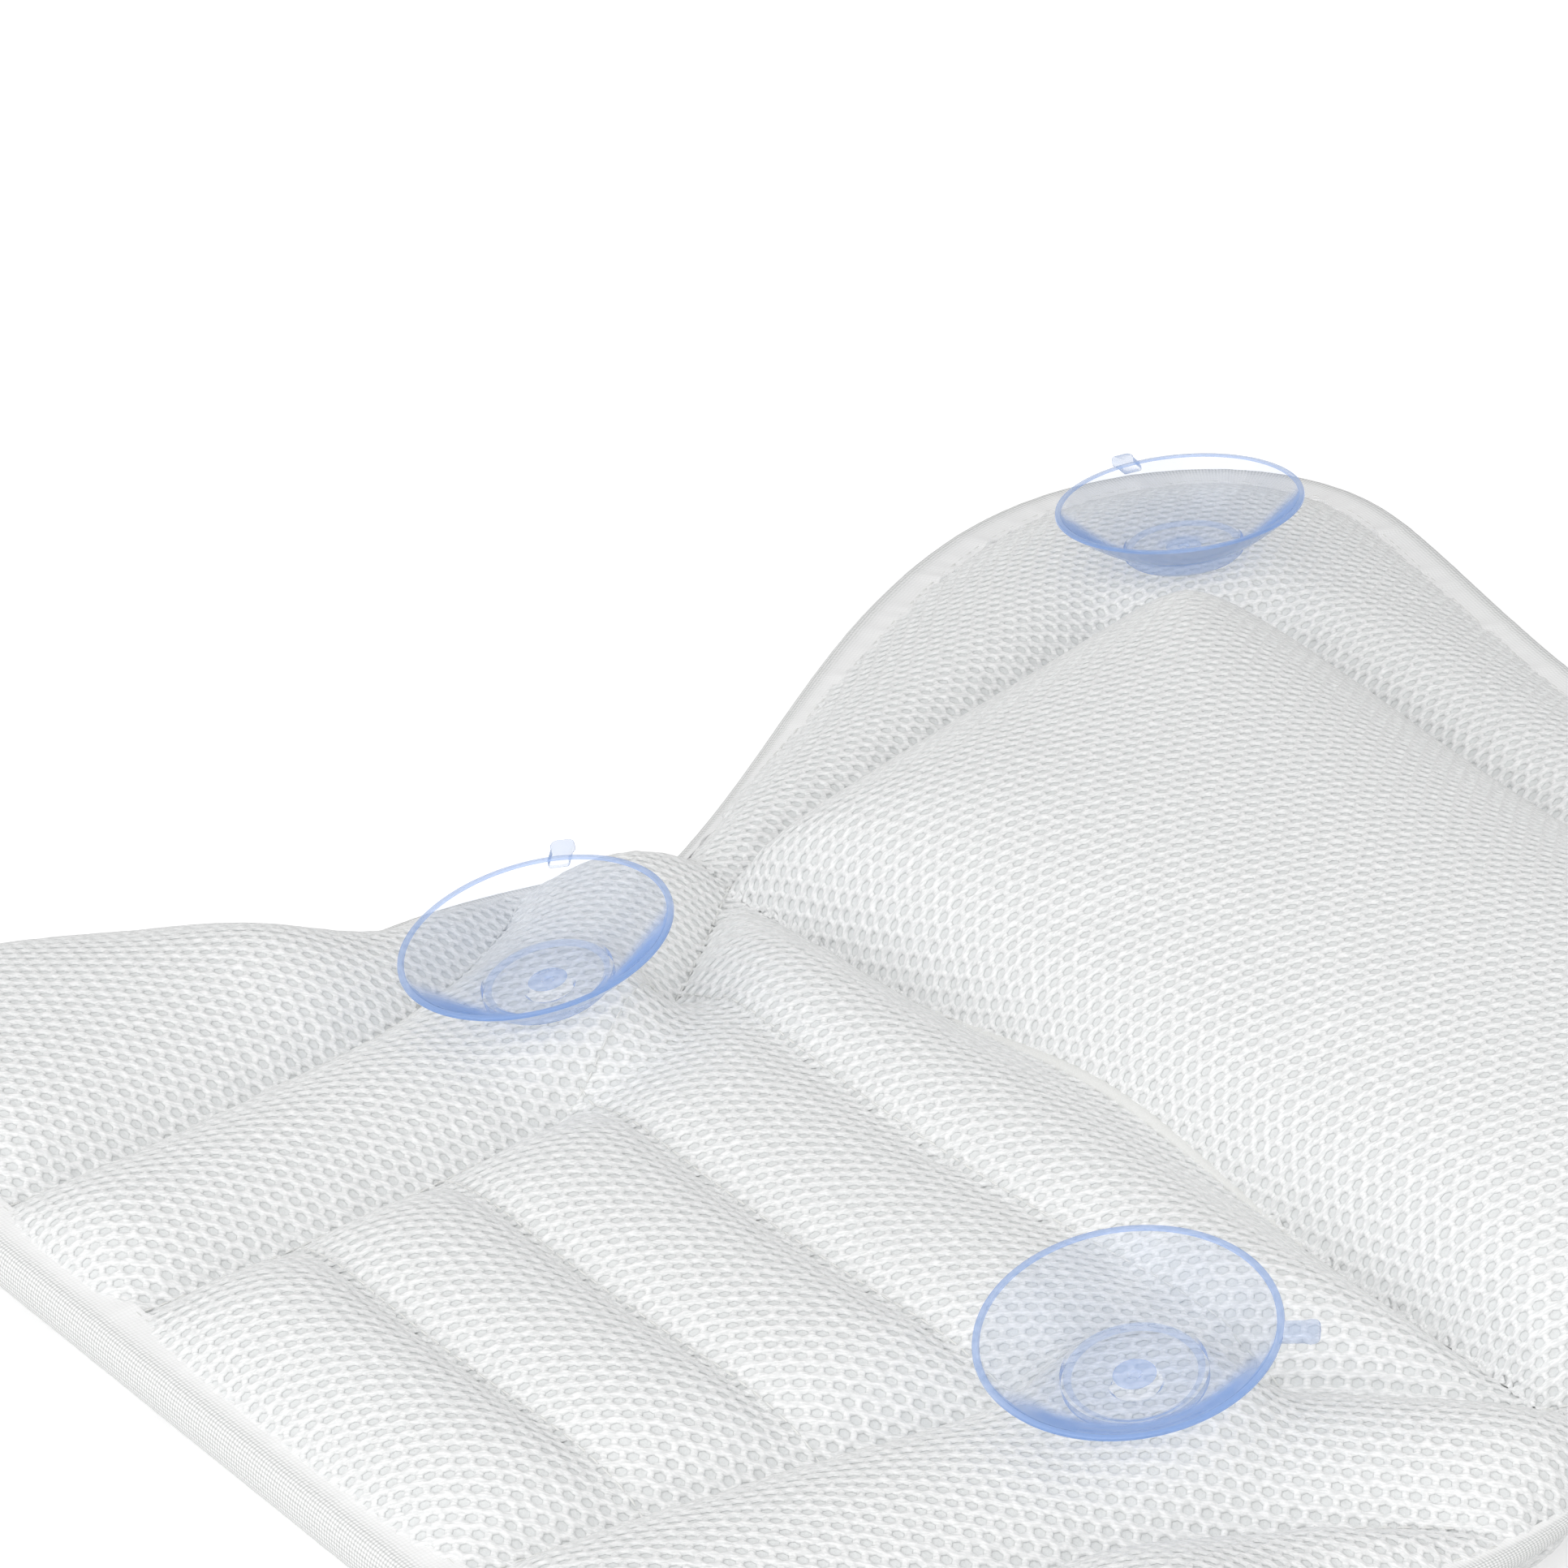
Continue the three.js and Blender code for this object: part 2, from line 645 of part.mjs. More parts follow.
// A row of a filling: it ends short of the seams, and shorter still of an edge that the tape holds flat
function fillingRow(row, outline, fromCentre) {
  const ends = [row[0], row.at(-1)];
  const gaps = ends.map((p) => fillingInset + Math.max(0, flatMargin - distanceTo(outline, p.x, p.y)));
  const length = ends[0].distanceTo(ends[1]);
  const from = fromCentre ? 0 : gaps[0] / length;
  const to = 1 - gaps[1] / length;
  return fillingColumns.map((share) => ends[0].clone().lerp(ends[1], from + share * (to - from)));
}

// The rows of a patch that hold a filling, over a stretch between two distances from the fold
function fillingPatch({ zone, rows }, outline, [near, far], fromCentre = false) {
  const inside = (row) => {
    const reach = Math.min(...row.map((p) => Math.abs(p.y)));
    const width = row[0].distanceTo(row.at(-1));
    return reach > near && reach < far && width > 2 * (fillingInset + flatMargin);
  };
  return { zone, rows: rows.filter(inside).map((row) => fillingRow(row, outline, fromCentre)) };
}

function addFilling(name, patches, sides, outside) {
  const block = solid(bodyBetween(planMesh(patches, sides), skyHeight, groundDepth));
  const body = outside.reduce((left, room) => left.subtract(room), block);
  addMesh(name, fromSolid(clearCups(body)), 'fibre');
}

function addHeadFillings(head, outside) {
  const padRows = head.pad.rows.slice(1, -1).map((row) => row.slice(0, -1));
  addFilling('head_pad_filling', [{ zone: 'pad', rows: padRows }], [1, -1], outside);
  const border = fillingPatch(head.border, headOutline, [fillingInset, Infinity]);
  addFilling('head_border_filling', [border], [1, -1], outside);
}

function addShoulderFillings(shoulder, outside) {
  for (let i = 1; i < channelStops.length; i += 1) {
    const stretch = channelStops.slice(i - 1, i + 1);
    const channel = fillingPatch(shoulder.channels, shoulderOutline, stretch, true);
    addFilling(`shoulder_channel_filling_${i}`, [channel], [1, -1], outside);
  }
  const stretch = [outerSeamStart, channelStops.at(-1)];
  for (const [sideName, side] of [['left', -1], ['right', 1]]) {
    const band = fillingPatch(shoulder.band, shoulderOutline, stretch);
    const wing = fillingPatch(shoulder.wing, shoulderOutline, stretch);
    addFilling(`shoulder_band_filling_${sideName}`, [band], [side], outside);
    addFilling(`shoulder_wing_filling_${sideName}`, [wing], [side], outside);
  }
}

// The cord of stitching that the two panels fold about
function addFoldSeam() {
  const length = 2 * (waistHalf - tapeWidth);
  const cord = new THREE.CylinderGeometry(foldCordRadius, foldCordRadius, length, cordSides);
  addMesh('fold_seam', cord.rotateZ(Math.PI / 2).translate(0, 0, restHeight), 'tape');
}

function addCups() {
  for (const frame of cups) {
    const cup = addMesh(`${frame.name}_${frame.sideName}`, cupGeometry(), 'vinyl');
    const washer = addMesh(`${frame.name}_washer_${frame.sideName}`, washerGeometry(), 'washer');
    for (const mesh of [cup, washer]) mesh.position.copy(frame.origin);
    cup.quaternion.copy(frame.turned);
    washer.quaternion.copy(frame.lean);
  }
}

const head = headPatches();
const shoulder = shoulderPatches();
const headEdge = head.border.rows.map((row) => row.at(-1));
const shoulderEdge = [...shoulderDrops().map((drop) => pointAtDrop([shoulderSide, shoulderCorner], drop)),
  point(0, -shoulderLength)];
const headOutside = addCloths('head', [head.pad, head.border], tapeRun(headEdge));
const shoulderOutside = addCloths('shoulder', Object.values(shoulder), tapeRun(shoulderEdge));
addHeadFillings(head, headOutside);
addShoulderFillings(shoulder, shoulderOutside);
addFoldSeam();
addCups();
pillow.position.y = (shoulderLength - headLength) / 2;

export default pillow;
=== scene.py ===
# Looks of the bath pillow: quilted spacer mesh, bound edges and clear suction cups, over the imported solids
import json
import math
from functools import partial

import bmesh
import bpy
import numpy as np
from mathutils import Matrix, Vector
from mathutils.geometry import delaunay_2d_cdt


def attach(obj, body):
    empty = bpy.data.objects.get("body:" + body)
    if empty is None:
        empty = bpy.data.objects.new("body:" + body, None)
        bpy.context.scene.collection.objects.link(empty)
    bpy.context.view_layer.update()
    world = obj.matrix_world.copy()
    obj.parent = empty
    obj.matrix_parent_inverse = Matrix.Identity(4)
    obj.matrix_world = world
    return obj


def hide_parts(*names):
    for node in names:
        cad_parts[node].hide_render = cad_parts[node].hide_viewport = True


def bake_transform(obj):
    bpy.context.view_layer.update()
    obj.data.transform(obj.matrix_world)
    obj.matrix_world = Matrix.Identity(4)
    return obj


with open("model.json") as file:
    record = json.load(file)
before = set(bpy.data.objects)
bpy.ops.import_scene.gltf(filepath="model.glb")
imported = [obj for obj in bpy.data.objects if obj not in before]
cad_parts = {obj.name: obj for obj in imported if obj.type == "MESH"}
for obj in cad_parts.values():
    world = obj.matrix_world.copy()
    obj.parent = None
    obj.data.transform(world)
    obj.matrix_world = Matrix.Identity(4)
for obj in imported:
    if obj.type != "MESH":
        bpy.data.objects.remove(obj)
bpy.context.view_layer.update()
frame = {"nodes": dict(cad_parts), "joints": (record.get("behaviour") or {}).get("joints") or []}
scene = bpy.context.scene
scene.view_settings.view_transform = "Standard"
scene.cycles.transparent_max_bounces = 32   # a look through a clear cup crosses many faces
joints = {joint["name"]: joint for joint in frame["joints"]}
foldY, seamZ = [1000 * value for value in joints["panel_fold"]["pos_m"][1:]]   # the fold line, in mm


# Sizes below are millimetres, laid out from the fold line, and meshes are metres in the frame
def toMetres(points):
    return (np.asarray(points, float) + (0, foldY, 0)) * 0.001


def toLinear(hexColour):
    channels = [int(hexColour[i:i + 2], 16) / 255 for i in (1, 3, 5)]
    return tuple(c / 12.92 if c <= 0.04045 else ((c + 0.055) / 1.055) ** 2.4 for c in channels) + (1.0,)


# Sets a node's inputs: one given as a socket, or as a node for its first output, is linked
def feed(node, inputs):
    for key, value in inputs.items():
        if isinstance(value, bpy.types.Node):
            value = value.outputs[0]
        if isinstance(value, bpy.types.NodeSocket):
            node.id_data.links.new(value, node.inputs[key])
        else:
            node.inputs[key].default_value = value


def addNode(tree, kind, inputs=None, **settings):
    node = tree.nodes.new(kind)
    for name, value in settings.items():
        setattr(node, name, value)
    feed(node, inputs or {})
    return node


def newMaterial(name):
    material = bpy.data.materials.new(name)
    material.use_nodes = True
    tree = material.node_tree
    return material, partial(addNode, tree), tree.nodes["Principled BSDF"]


def newPiece(name, data, material=None):
    piece = bpy.data.objects.new(name, data)
    scene.collection.objects.link(piece)
    if material:
        data.materials.append(material)
    return piece


def bakedMesh(piece):   # the piece's mesh with its modifiers applied
    return bpy.data.meshes.new_from_object(piece.evaluated_get(bpy.context.evaluated_depsgraph_get()))


def toMesh(solid, name):   # a closed bmesh as a mesh with its faces outwards
    bmesh.ops.recalc_face_normals(solid, faces=solid.faces)
    mesh = bpy.data.meshes.new(name)
    solid.to_mesh(mesh)
    solid.free()
    return mesh


# A smooth closed skin through rows of points, round each row and across both ends
def skinMesh(name, rows, vertices):
    count = len(vertices) // rows
    solid = bmesh.new()
    corners = [solid.verts.new(point) for point in toMetres(vertices)]
    rings = [corners[i * count:(i + 1) * count] for i in range(rows)]
    for ring, after in zip(rings, rings[1:]):
        for k in range(count):
            solid.faces.new((ring[k - 1], ring[k], after[k], after[k - 1]))
    for end in (rings[0], rings[-1]):
        solid.faces.new(end)
    mesh = toMesh(solid, name)
    mesh.shade_smooth()
    print(name, "has", len(mesh.polygons), "faces")
    return mesh


def setValues(mesh, name, values, domain="POINT"):
    mesh.attributes.new(name, "FLOAT", domain).data.foreach_set("value", values)


# Camera at the photograph's angle
cameraPlace = {"azimuth": 53.4, "elevation": 27.0, "distance": 1.3, "aim": (-0.1383, 0.0201, 0.0228),
               "focalPixels": 8580, "imagePixels": 1932, "sensor": 36.0}


def makeCamera():
    azimuth = math.radians(cameraPlace["azimuth"])
    elevation = math.radians(cameraPlace["elevation"])
    back = Vector((math.sin(azimuth) * math.cos(elevation), -math.cos(azimuth) * math.cos(elevation),
                   math.sin(elevation)))
    data = bpy.data.cameras.new("camera")
    data.sensor_width = cameraPlace["sensor"]
    data.lens = cameraPlace["focalPixels"] / cameraPlace["imagePixels"] * data.sensor_width
    camera = newPiece("camera", data)
    camera.location = Vector(cameraPlace["aim"]) + back * cameraPlace["distance"]
    camera.rotation_euler = (-back).to_track_quat("-Z", "Y").to_euler()
    scene.camera = camera


makeCamera()
print("camera ready")


# Materials
def knittedPolyester():
    # Warp-knitted spacer cloth: bundles of fine shiny filaments. The walls of the eyes are painted darker
    # than the strand tops as painted shade, and the bright dashes along the strand tops are painted
    # highlights
    material, add, shader = newMaterial("knitted polyester filament")
    yarn = add("ShaderNodeAttribute", attribute_name="yarn").outputs["Vector"]
    strand = add("ShaderNodeAttribute", attribute_name="strand").outputs["Fac"]
    dashes = add("ShaderNodeMapping", {"Vector": yarn, "Scale": (1 / 0.0016, 1 / 0.0004, 1.0)})
    filament = add("ShaderNodeTexNoise", noise_dimensions="2D",
                   inputs={"Vector": dashes, "Scale": 1.0, "Detail": 2})
    # Painted shade: the colour darkens from the strand tops down the walls of the eyes, following the strand
    # attribute
    height = add("ShaderNodeMix", data_type="RGBA",
                 inputs={0: strand, 6: toLinear("#E0E2E2"), 7: toLinear("#EBECEC")})
    # Painted highlights: white glints from the filament noise, kept to the strand tops
    glint = add("ShaderNodeMapRange", {"Value": filament, "From Min": 0.42, "From Max": 0.62})
    paintedGlint = add("ShaderNodeMath", {0: glint, 1: strand}, operation="MULTIPLY")
    colour = add("ShaderNodeMix", data_type="RGBA",
                 inputs={0: paintedGlint, 6: height.outputs[2], 7: toLinear("#FFFFFF")})
    bump = add("ShaderNodeBump", {"Height": filament, "Strength": 0.5, "Distance": 0.0003})
    feed(shader, {"Base Color": colour.outputs[2], "Normal": bump, "Roughness": 0.45})
    return material


def wovenTape():
    # Woven polyester binding: smooth and bright where it lies flat, a grid of tiny dots where it folds over
    material, add, shader = newMaterial("woven polyester binding")
    coords = add("ShaderNodeUVMap", uv_map="UVMap").outputs["UV"]
    bend = add("ShaderNodeAttribute", attribute_name="bend").outputs["Fac"]
    threadPitch = 0.0007
    mapping = add("ShaderNodeMapping", {"Vector": coords, "Scale": (1 / threadPitch, 1 / threadPitch, 1.0)})
    crossings = add("ShaderNodeTexVoronoi", voronoi_dimensions="2D",
                    inputs={"Vector": mapping, "Scale": 1.0, "Randomness": 0.1})
    gaps = add("ShaderNodeMapRange", {"Value": crossings, "From Min": 0.2, "From Max": 0.65})
    shown = add("ShaderNodeMapRange", {"Value": bend, "To Min": 0.2, "To Max": 1.0})
    depth = add("ShaderNodeMath", {0: gaps, 1: shown}, operation="MULTIPLY")
    colour = add("ShaderNodeMix", data_type="RGBA",
                 inputs={0: depth, 6: toLinear("#FFFFFF"), 7: toLinear("#C4C6C5")})
    bump = add("ShaderNodeBump", {"Height": depth, "Strength": 0.5, "Distance": 0.0002}, invert=True)
    feed(shader, {"Base Color": colour.outputs[2], "Normal": bump, "Roughness": 0.7})
    return material


def clearVinyl():
    # Soft moulded PVC: clear with a faint haze face on, and light blue where it is thick or seen edge on
    material, add, shader = newMaterial("clear soft vinyl")
    feed(shader, {"Base Color": toLinear("#8AADE6"), "Roughness": 0.15})
    coords = add("ShaderNodeTexCoord").outputs["Object"]
    cloud = add("ShaderNodeTexNoise", {"Vector": coords, "Scale": 1 / 0.007, "Detail": 2})
    haze = add("ShaderNodeMapRange", {"Value": cloud, "To Min": 0.02, "To Max": 0.07})
    facing = add("ShaderNodeLayerWeight", {"Blend": 0.5}).outputs["Facing"]
    edge = add("ShaderNodeMapRange", interpolation_type="SMOOTHSTEP",
               inputs={"Value": facing, "From Min": 0.58, "From Max": 0.82, "To Min": haze, "To Max": 0.9})
    bulk = add("ShaderNodeAttribute", attribute_name="bulk").outputs["Fac"]
    inside = add("ShaderNodeNewGeometry").outputs["Backfacing"]
    outer = add("ShaderNodeMapRange", {"Value": inside, "To Min": bulk, "To Max": 0.0})
    body = add("ShaderNodeMath", {0: edge, 1: outer}, operation="MAXIMUM")
    clear = add("ShaderNodeBsdfTransparent", {"Color": (0.95, 0.957, 0.968, 1.0)})
    tinted = add("ShaderNodeMixShader", {0: body, 1: clear, 2: shader})
    grazing = add("ShaderNodeMath", {0: facing, 1: 4.0}, operation="POWER")
    gloss = add("ShaderNodeMath", {0: grazing, 1: 0.15, 2: 0.015}, operation="MULTIPLY_ADD")
    mirror = add("ShaderNodeBsdfAnisotropic", {"Color": (1.0, 1.0, 1.0, 1.0), "Roughness": 0.06})
    surface = add("ShaderNodeMixShader", {0: gloss, 1: tinted, 2: mirror})
    shade = add("ShaderNodeLightPath").outputs["Is Shadow Ray"]
    light = add("ShaderNodeMixShader", {0: shade, 1: surface, 2: clear})
    feed(material.node_tree.nodes["Material Output"], {"Surface": light})
    return material


# Mottled by noise of a grain in metres between two colours, with bumps where the fibre is loose
def mottled(name, grain, detail, colours, roughness, bumps=0.0):
    material, add, shader = newMaterial(name)
    coords = add("ShaderNodeTexCoord").outputs["Object"]
    noise = add("ShaderNodeTexNoise", {"Vector": coords, "Scale": 1 / grain, "Detail": detail})
    low, high = [toLinear(colour) for colour in colours]
    colour = add("ShaderNodeMix", {0: noise, 6: low, 7: high}, data_type="RGBA")
    feed(shader, {"Base Color": colour.outputs[2], "Roughness": roughness})
    if bumps:
        feed(shader, {"Normal": add("ShaderNodeBump", {"Height": noise, "Strength": 0.5, "Distance": bumps})})
    return material


strandMaterial = knittedPolyester()
tapeMaterial = wovenTape()
vinylMaterial = clearVinyl()
# The upright pile yarn between the two faces of the cloth: a fuzzy pale grey at the bottom of the eyes
pileMaterial = mottled("polyester spacer pile", 0.0007, 3, ("#DFE1E1", "#EEF0F0"), 0.8, 0.0004)
# Spun polyester thread: a soft twist of fibres with a slight lustre
threadMaterial = mottled("spun polyester thread", 0.0003, 2, ("#DDDEDC", "#F2F2F0"), 0.55)
# Moulded nylon rings inside the cloth: milky, with a faint mottle
washerMaterial = mottled("moulded nylon", 0.004, 2, ("#D5DEE9", "#E8EFF7"), 0.35)
print("materials ready")

# Plan of the right half: ends of each curve, and handles measured from those ends
planSizes = {
    "waist": (127, 0), "lobeSide": (209, 152), "lobeTop": (167, 203), "headMiddle": (0, 173),
    "headSideHandles": ((28, 49), (0, -48)), "headCornerHandles": ((0, 29), (26, 0)),
    "headTopHandles": ((-26, 0), (84, 0)),
    "flareEnd": (172, -138), "bottomEnd": (140, -172), "footMiddle": (0, -172),
    "sideDip": (134.5, -60), "dipHandles": ((8, -16), (3, 20)), "flareHandles": ((-1.5, -10), (0, 36)),
    "shoulderCornerHandles": ((0, -22), (20, 0)),
    "padFoot": (110, 0), "padShoulder": (143, 112), "padPeak": (116, 140), "padMiddle": (0, 129),
    "padSideHandles": ((0, 0), (0, 0)), "padCornerHandles": ((5, 17), (18, 1)),
    "padTopHandles": ((-35, -1), (45, 0)), "innerKnee": (58, -75), "innerFoot": (48, -172),
    "innerTopHandles": ((-18, -20), (5, 26)), "innerFootHandles": ((-4, -22), (0, 32)),
    "outerStart": 27, "outerKnee": (101, -86), "outerFoot": (90, -172),
    "outerTopHandles": ((-17, -15), (5, 21)), "outerFootHandles": ((-5, -26), (0, 27)),
    "grooves": (31, 66, 100, 131), "grooveBow": 5, "grooveBowHalf": 70,
}


def bezier(start, end, handles, count=24):
    points = np.array([start, np.add(start, handles[0]), np.add(end, handles[1]), end], float)
    t = np.linspace(0, 1, count + 1)[:, None]
    weights = ((1 - t) ** 3, 3 * t * (1 - t) ** 2, 3 * t * t * (1 - t), t ** 3)
    return sum(weight * point for weight, point in zip(weights, points))


def chain(*parts):
    return np.vstack([parts[0]] + [part[1:] for part in parts[1:]])


def lengthsAlong(line):
    return np.concatenate([[0], np.cumsum(np.linalg.norm(np.diff(line, axis=0), axis=1))])


# The same line with points an even step apart
def evenSteps(line, step):
    lengths = lengthsAlong(line)
    stops = np.linspace(0, lengths[-1], max(2, int(round(lengths[-1] / step)) + 1))
    return np.column_stack([np.interp(stops, lengths, line[:, k]) for k in range(line.shape[1])])


def acrossLine(y, line):   # x of a falling line at heights y
    return np.interp(-y, -line[:, 1], line[:, 0])


def mirrored(line):
    return line[::-1] * (-1, 1)


size = planSizes


def curveThrough(*names):   # names of points, with the name of the handles between each two
    stops = [size[name] for name in names]
    return chain(*[bezier(a, b, handles) for a, handles, b in zip(stops[::2], stops[1::2], stops[2::2])])


shoulderSide = curveThrough("waist", "dipHandles", "sideDip", "flareHandles", "flareEnd")
size["outerTop"] = (acrossLine(-size["outerStart"], shoulderSide), -size["outerStart"])
headEdge = curveThrough("waist", "headSideHandles", "lobeSide", "headCornerHandles", "lobeTop",
                        "headTopHandles", "headMiddle")
shoulderEdge = chain(shoulderSide, curveThrough("flareEnd", "shoulderCornerHandles", "bottomEnd"),
                     np.array([size["bottomEnd"], size["footMiddle"]], float))
padSeam = curveThrough("padFoot", "padSideHandles", "padShoulder", "padCornerHandles", "padPeak",
                       "padTopHandles", "padMiddle")
innerSeam = curveThrough("padFoot", "innerTopHandles", "innerKnee", "innerFootHandles", "innerFoot")
outerSeam = curveThrough("outerTop", "outerTopHandles", "outerKnee", "outerFootHandles", "outerFoot")


def grooveBow(x):
    return size["grooveBow"] * np.clip(1 - (x / size["grooveBowHalf"]) ** 2, 0, 1)


def grooveLine(drop):
    half = acrossLine(-drop, innerSeam)
    half = acrossLine(-drop - grooveBow(half), innerSeam)
    x = np.linspace(-half, half, 25)
    return np.column_stack([x, -drop - grooveBow(x)])


grooveLines = [grooveLine(drop) for drop in size["grooves"]]


def distanceTo(points, line):
    best = np.full(len(points), np.inf)
    for a, b in zip(line[:-1], line[1:]):
        along = b - a
        t = np.clip((points - a) @ along / (along @ along + 1e-12), 0, 1)
        best = np.minimum(best, np.linalg.norm(points - a - t[:, None] * along, axis=1))
    return best


def insideOf(points, loop):
    x, y = points.T
    hit = np.zeros(len(points), bool)
    for (ax, ay), (bx, by) in zip(loop, np.roll(loop, 1, axis=0)):
        if ay != by:
            hit ^= ((ay > y) != (by > y)) & (x < (bx - ax) * (y - ay) / (by - ay) + ax)
    return hit


# Crowns of the quilted zones, and how far from a seam each takes to rise, with a softness where it isn't the
# usual one; the waves along the wing are height, place and width
quilt = {
    "padCrown": 32, "padFoldRise": (46, 0.56), "padRise": (60, 0.7),
    "foldLift": 9, "foldLiftHalf": 42, "foldLiftReach": 20, "foldRise": 26,
    "borderCrown": 11.5, "borderSeamRise": 20, "borderEdgeRise": (36, 0.92), "borderFoldStart": 6,
    "channelCrown": 12, "channelFoldRise": (27, 0.95), "channelSideRise": 26, "channelEdgeRise": 24,
    "grooveRise": (19, 0.6), "grooveShare": 0.55, "firstSwell": 0.3,
    "bandCrown": 10.5, "bandRise": 24, "bandEdgeRise": (18, 0.6), "bandFoldStart": 8,
    "wingCrown": 13, "wingRise": 30, "wingEdgeRise": (22, 0.6),
    "wingWaves": ((-0.1, -67, 17), (0.2, -87, 14)),
    "headEdgeFlat": 6.8, "shoulderEdgeFlat": 4.0, "frontCrown": 19, "frontFoldFlat": 3,
    "fullness": 2.2, "softness": 0.75, "seamHalf": 2.8, "netStand": 0.6,
    "seatRadius": 12, "seatFade": 14, "seatGap": 0.3,
}
clothStand = quilt["seamHalf"] - quilt["netStand"]   # from the seam plane to the sheet under the net


def rise(distance, width, softness=quilt["softness"]):
    share = np.clip(distance / width, 0, 1)
    return (1 - (1 - share) ** quilt["fullness"]) ** softness


def least(first, second):   # the smaller of two shares, rounded where they meet
    return (2 / (np.maximum(first, 1e-3) ** -4 + np.maximum(second, 1e-3) ** -4)) ** 0.25


cupNames = [f"{place}_cup_{side}" for place in ("head", "waist") for side in ("left", "right")]
cupSeats = []
for name in cupNames:
    joint = joints[name + "_spin"]
    centre = np.array(joint["pos_m"]) * 1000 - (0, foldY, 0)
    cupSeats.append((centre, np.array(joint["axis"])))


# Swell of the back and of the front away from the seam plane, at plan points
def swellOf(points):
    q = quilt
    half = np.abs(points[:, 0])
    y = points[:, 1]
    p = np.column_stack([half, y])
    fromFold = np.abs(y)
    fromHeadEdge = distanceTo(p, headEdge) - q["headEdgeFlat"] * tapeShare(y)
    fromEdge = distanceTo(p, shoulderEdge) - q["shoulderEdgeFlat"] * tapeShare(y)
    fromPad = distanceTo(p, padSeam)
    fromInner = distanceTo(p, innerSeam)
    fromOuter = distanceTo(p, outerSeam)
    inPad = (y >= 0) & insideOf(p, np.vstack([[(-1, 0)], padSeam, [(-1, size["padMiddle"][1])]]))
    inChannels = (y < 0) & (half < acrossLine(y, innerSeam))
    inWing = (y < -size["outerStart"]) & (half > acrossLine(y, outerSeam))
    inBand = (y < 0) & ~inChannels & ~inWing
    inBorder = (y >= 0) & ~inPad
    groove = np.ones(len(p))
    for drop in size["grooves"]:
        dip = rise(np.abs(y + drop + grooveBow(half)), *q["grooveRise"])
        groove = np.minimum(groove, q["grooveShare"] + (1 - q["grooveShare"]) * dip)
    first = y > -size["grooves"][0] - grooveBow(half)
    pad = least(rise(fromFold, *q["padFoldRise"]), rise(fromPad, *q["padRise"]))
    border = rise(fromPad, q["borderSeamRise"]) * rise(fromHeadEdge, *q["borderEdgeRise"]) \
        * rise(fromFold + q["borderFoldStart"], q["foldRise"])
    channels = groove * rise(fromInner, q["channelSideRise"]) * rise(fromFold, *q["channelFoldRise"]) \
        * rise(fromEdge, q["channelEdgeRise"])
    band = rise(fromInner, q["bandRise"]) * rise(fromOuter, q["bandRise"]) \
        * rise(fromEdge, *q["bandEdgeRise"]) * rise(fromFold + q["bandFoldStart"], q["foldRise"])
    waves = [high * np.exp(-((y - middle) / width) ** 2) for high, middle, width in q["wingWaves"]]
    wing = rise(fromOuter, q["wingRise"]) * rise(fromEdge, *q["wingEdgeRise"]) * sum(waves, 1.0)
    zones = ((inPad, pad, q["padCrown"]), (inBorder, border, q["borderCrown"]),
             (inChannels, channels * (1 + q["firstSwell"] * first), q["channelCrown"]),
             (inBand, band, q["bandCrown"]), (inWing, wing, q["wingCrown"]))
    back = np.zeros(len(p))
    share = np.zeros(len(p))
    for inside, zone, crown in zones:
        back[inside] = crown * zone[inside]
        share[inside] = zone[inside]
    lift = q["foldLift"] * np.exp(-(half / q["foldLiftHalf"]) ** 2 - (y / q["foldLiftReach"]) ** 2)
    foldPinch = rise(fromFold - q["frontFoldFlat"], q["foldRise"])
    return np.hypot(back, lift), q["frontCrown"] * share * foldPinch


# The sheet under the net on the back: swollen, then pressed flat under each cup
def backHeight(points, fullness):
    height = seamZ + clothStand + fullness * swellOf(points)[0]
    for centre, axis in cupSeats:
        away = points - centre[:2]
        fade = np.clip((np.linalg.norm(away, axis=1) - quilt["seatRadius"]) / quilt["seatFade"], 0, 1)
        fade = fade * fade * (3 - 2 * fade)
        plane = centre[2] - (away @ axis[:2] + quilt["seatGap"] + quilt["netStand"]) / axis[2]
        height = plane + (height - plane) * fade
    return height


def frontHeight(points, fullness):
    return np.maximum(seamZ - clothStand - fullness * swellOf(points)[1], quilt["netStand"])


# Net of the spacer cloth: eyes in rows, its reach under the tape as a share of the tape's width, and how many
# metres the front's flat layout lies beside the back's
netSizes = {"pitch": 3.15, "turns": {"head": 72.0, "shoulder": 50.0}, "eyeShares": (0.65, 0.5),
            "rimDrop": 0.28, "wall": 0.27, "footShare": 0.9, "weldShare": 0.03, "foldOverlap": 0.4,
            "underTape": 0.35, "waistReach": 1.5, "span": 520.0, "frontAside": 1.0}

# Binding tape: folded over the edges, narrower beside the fold and puckered by its stitching
tapeSizes = {"width": 8.4, "bendReach": 2.3, "bendShare": 0.12, "bendSteps": 9, "half": 4.1, "thickness": 2.6,
             "flatShares": (1.0, 0.92, 0.82, 0.68, 0.54, 0.4), "lipShare": 1.02, "lipRise": 0.3,
             "innerGap": 0.3, "step": 1.6, "foldLap": 0.8, "foldShare": 0.15, "foldReach": 90.0,
             "foldHeight": 0.1, "pucker": 0.8, "puckerSpread": 0.6, "pitches": (6.8, 9.7, 23.0),
             "phases": (0.4, 2.1, 4.4), "flatShade": 0.55, "sharpAngle": 50}


def tapeShare(y):   # share of the tape's full width at a distance from the fold
    t = np.clip(np.abs(y) / tapeSizes["foldReach"], 0, 1)
    return tapeSizes["foldShare"] + (1 - tapeSizes["foldShare"]) * t * t * (3 - 2 * t)


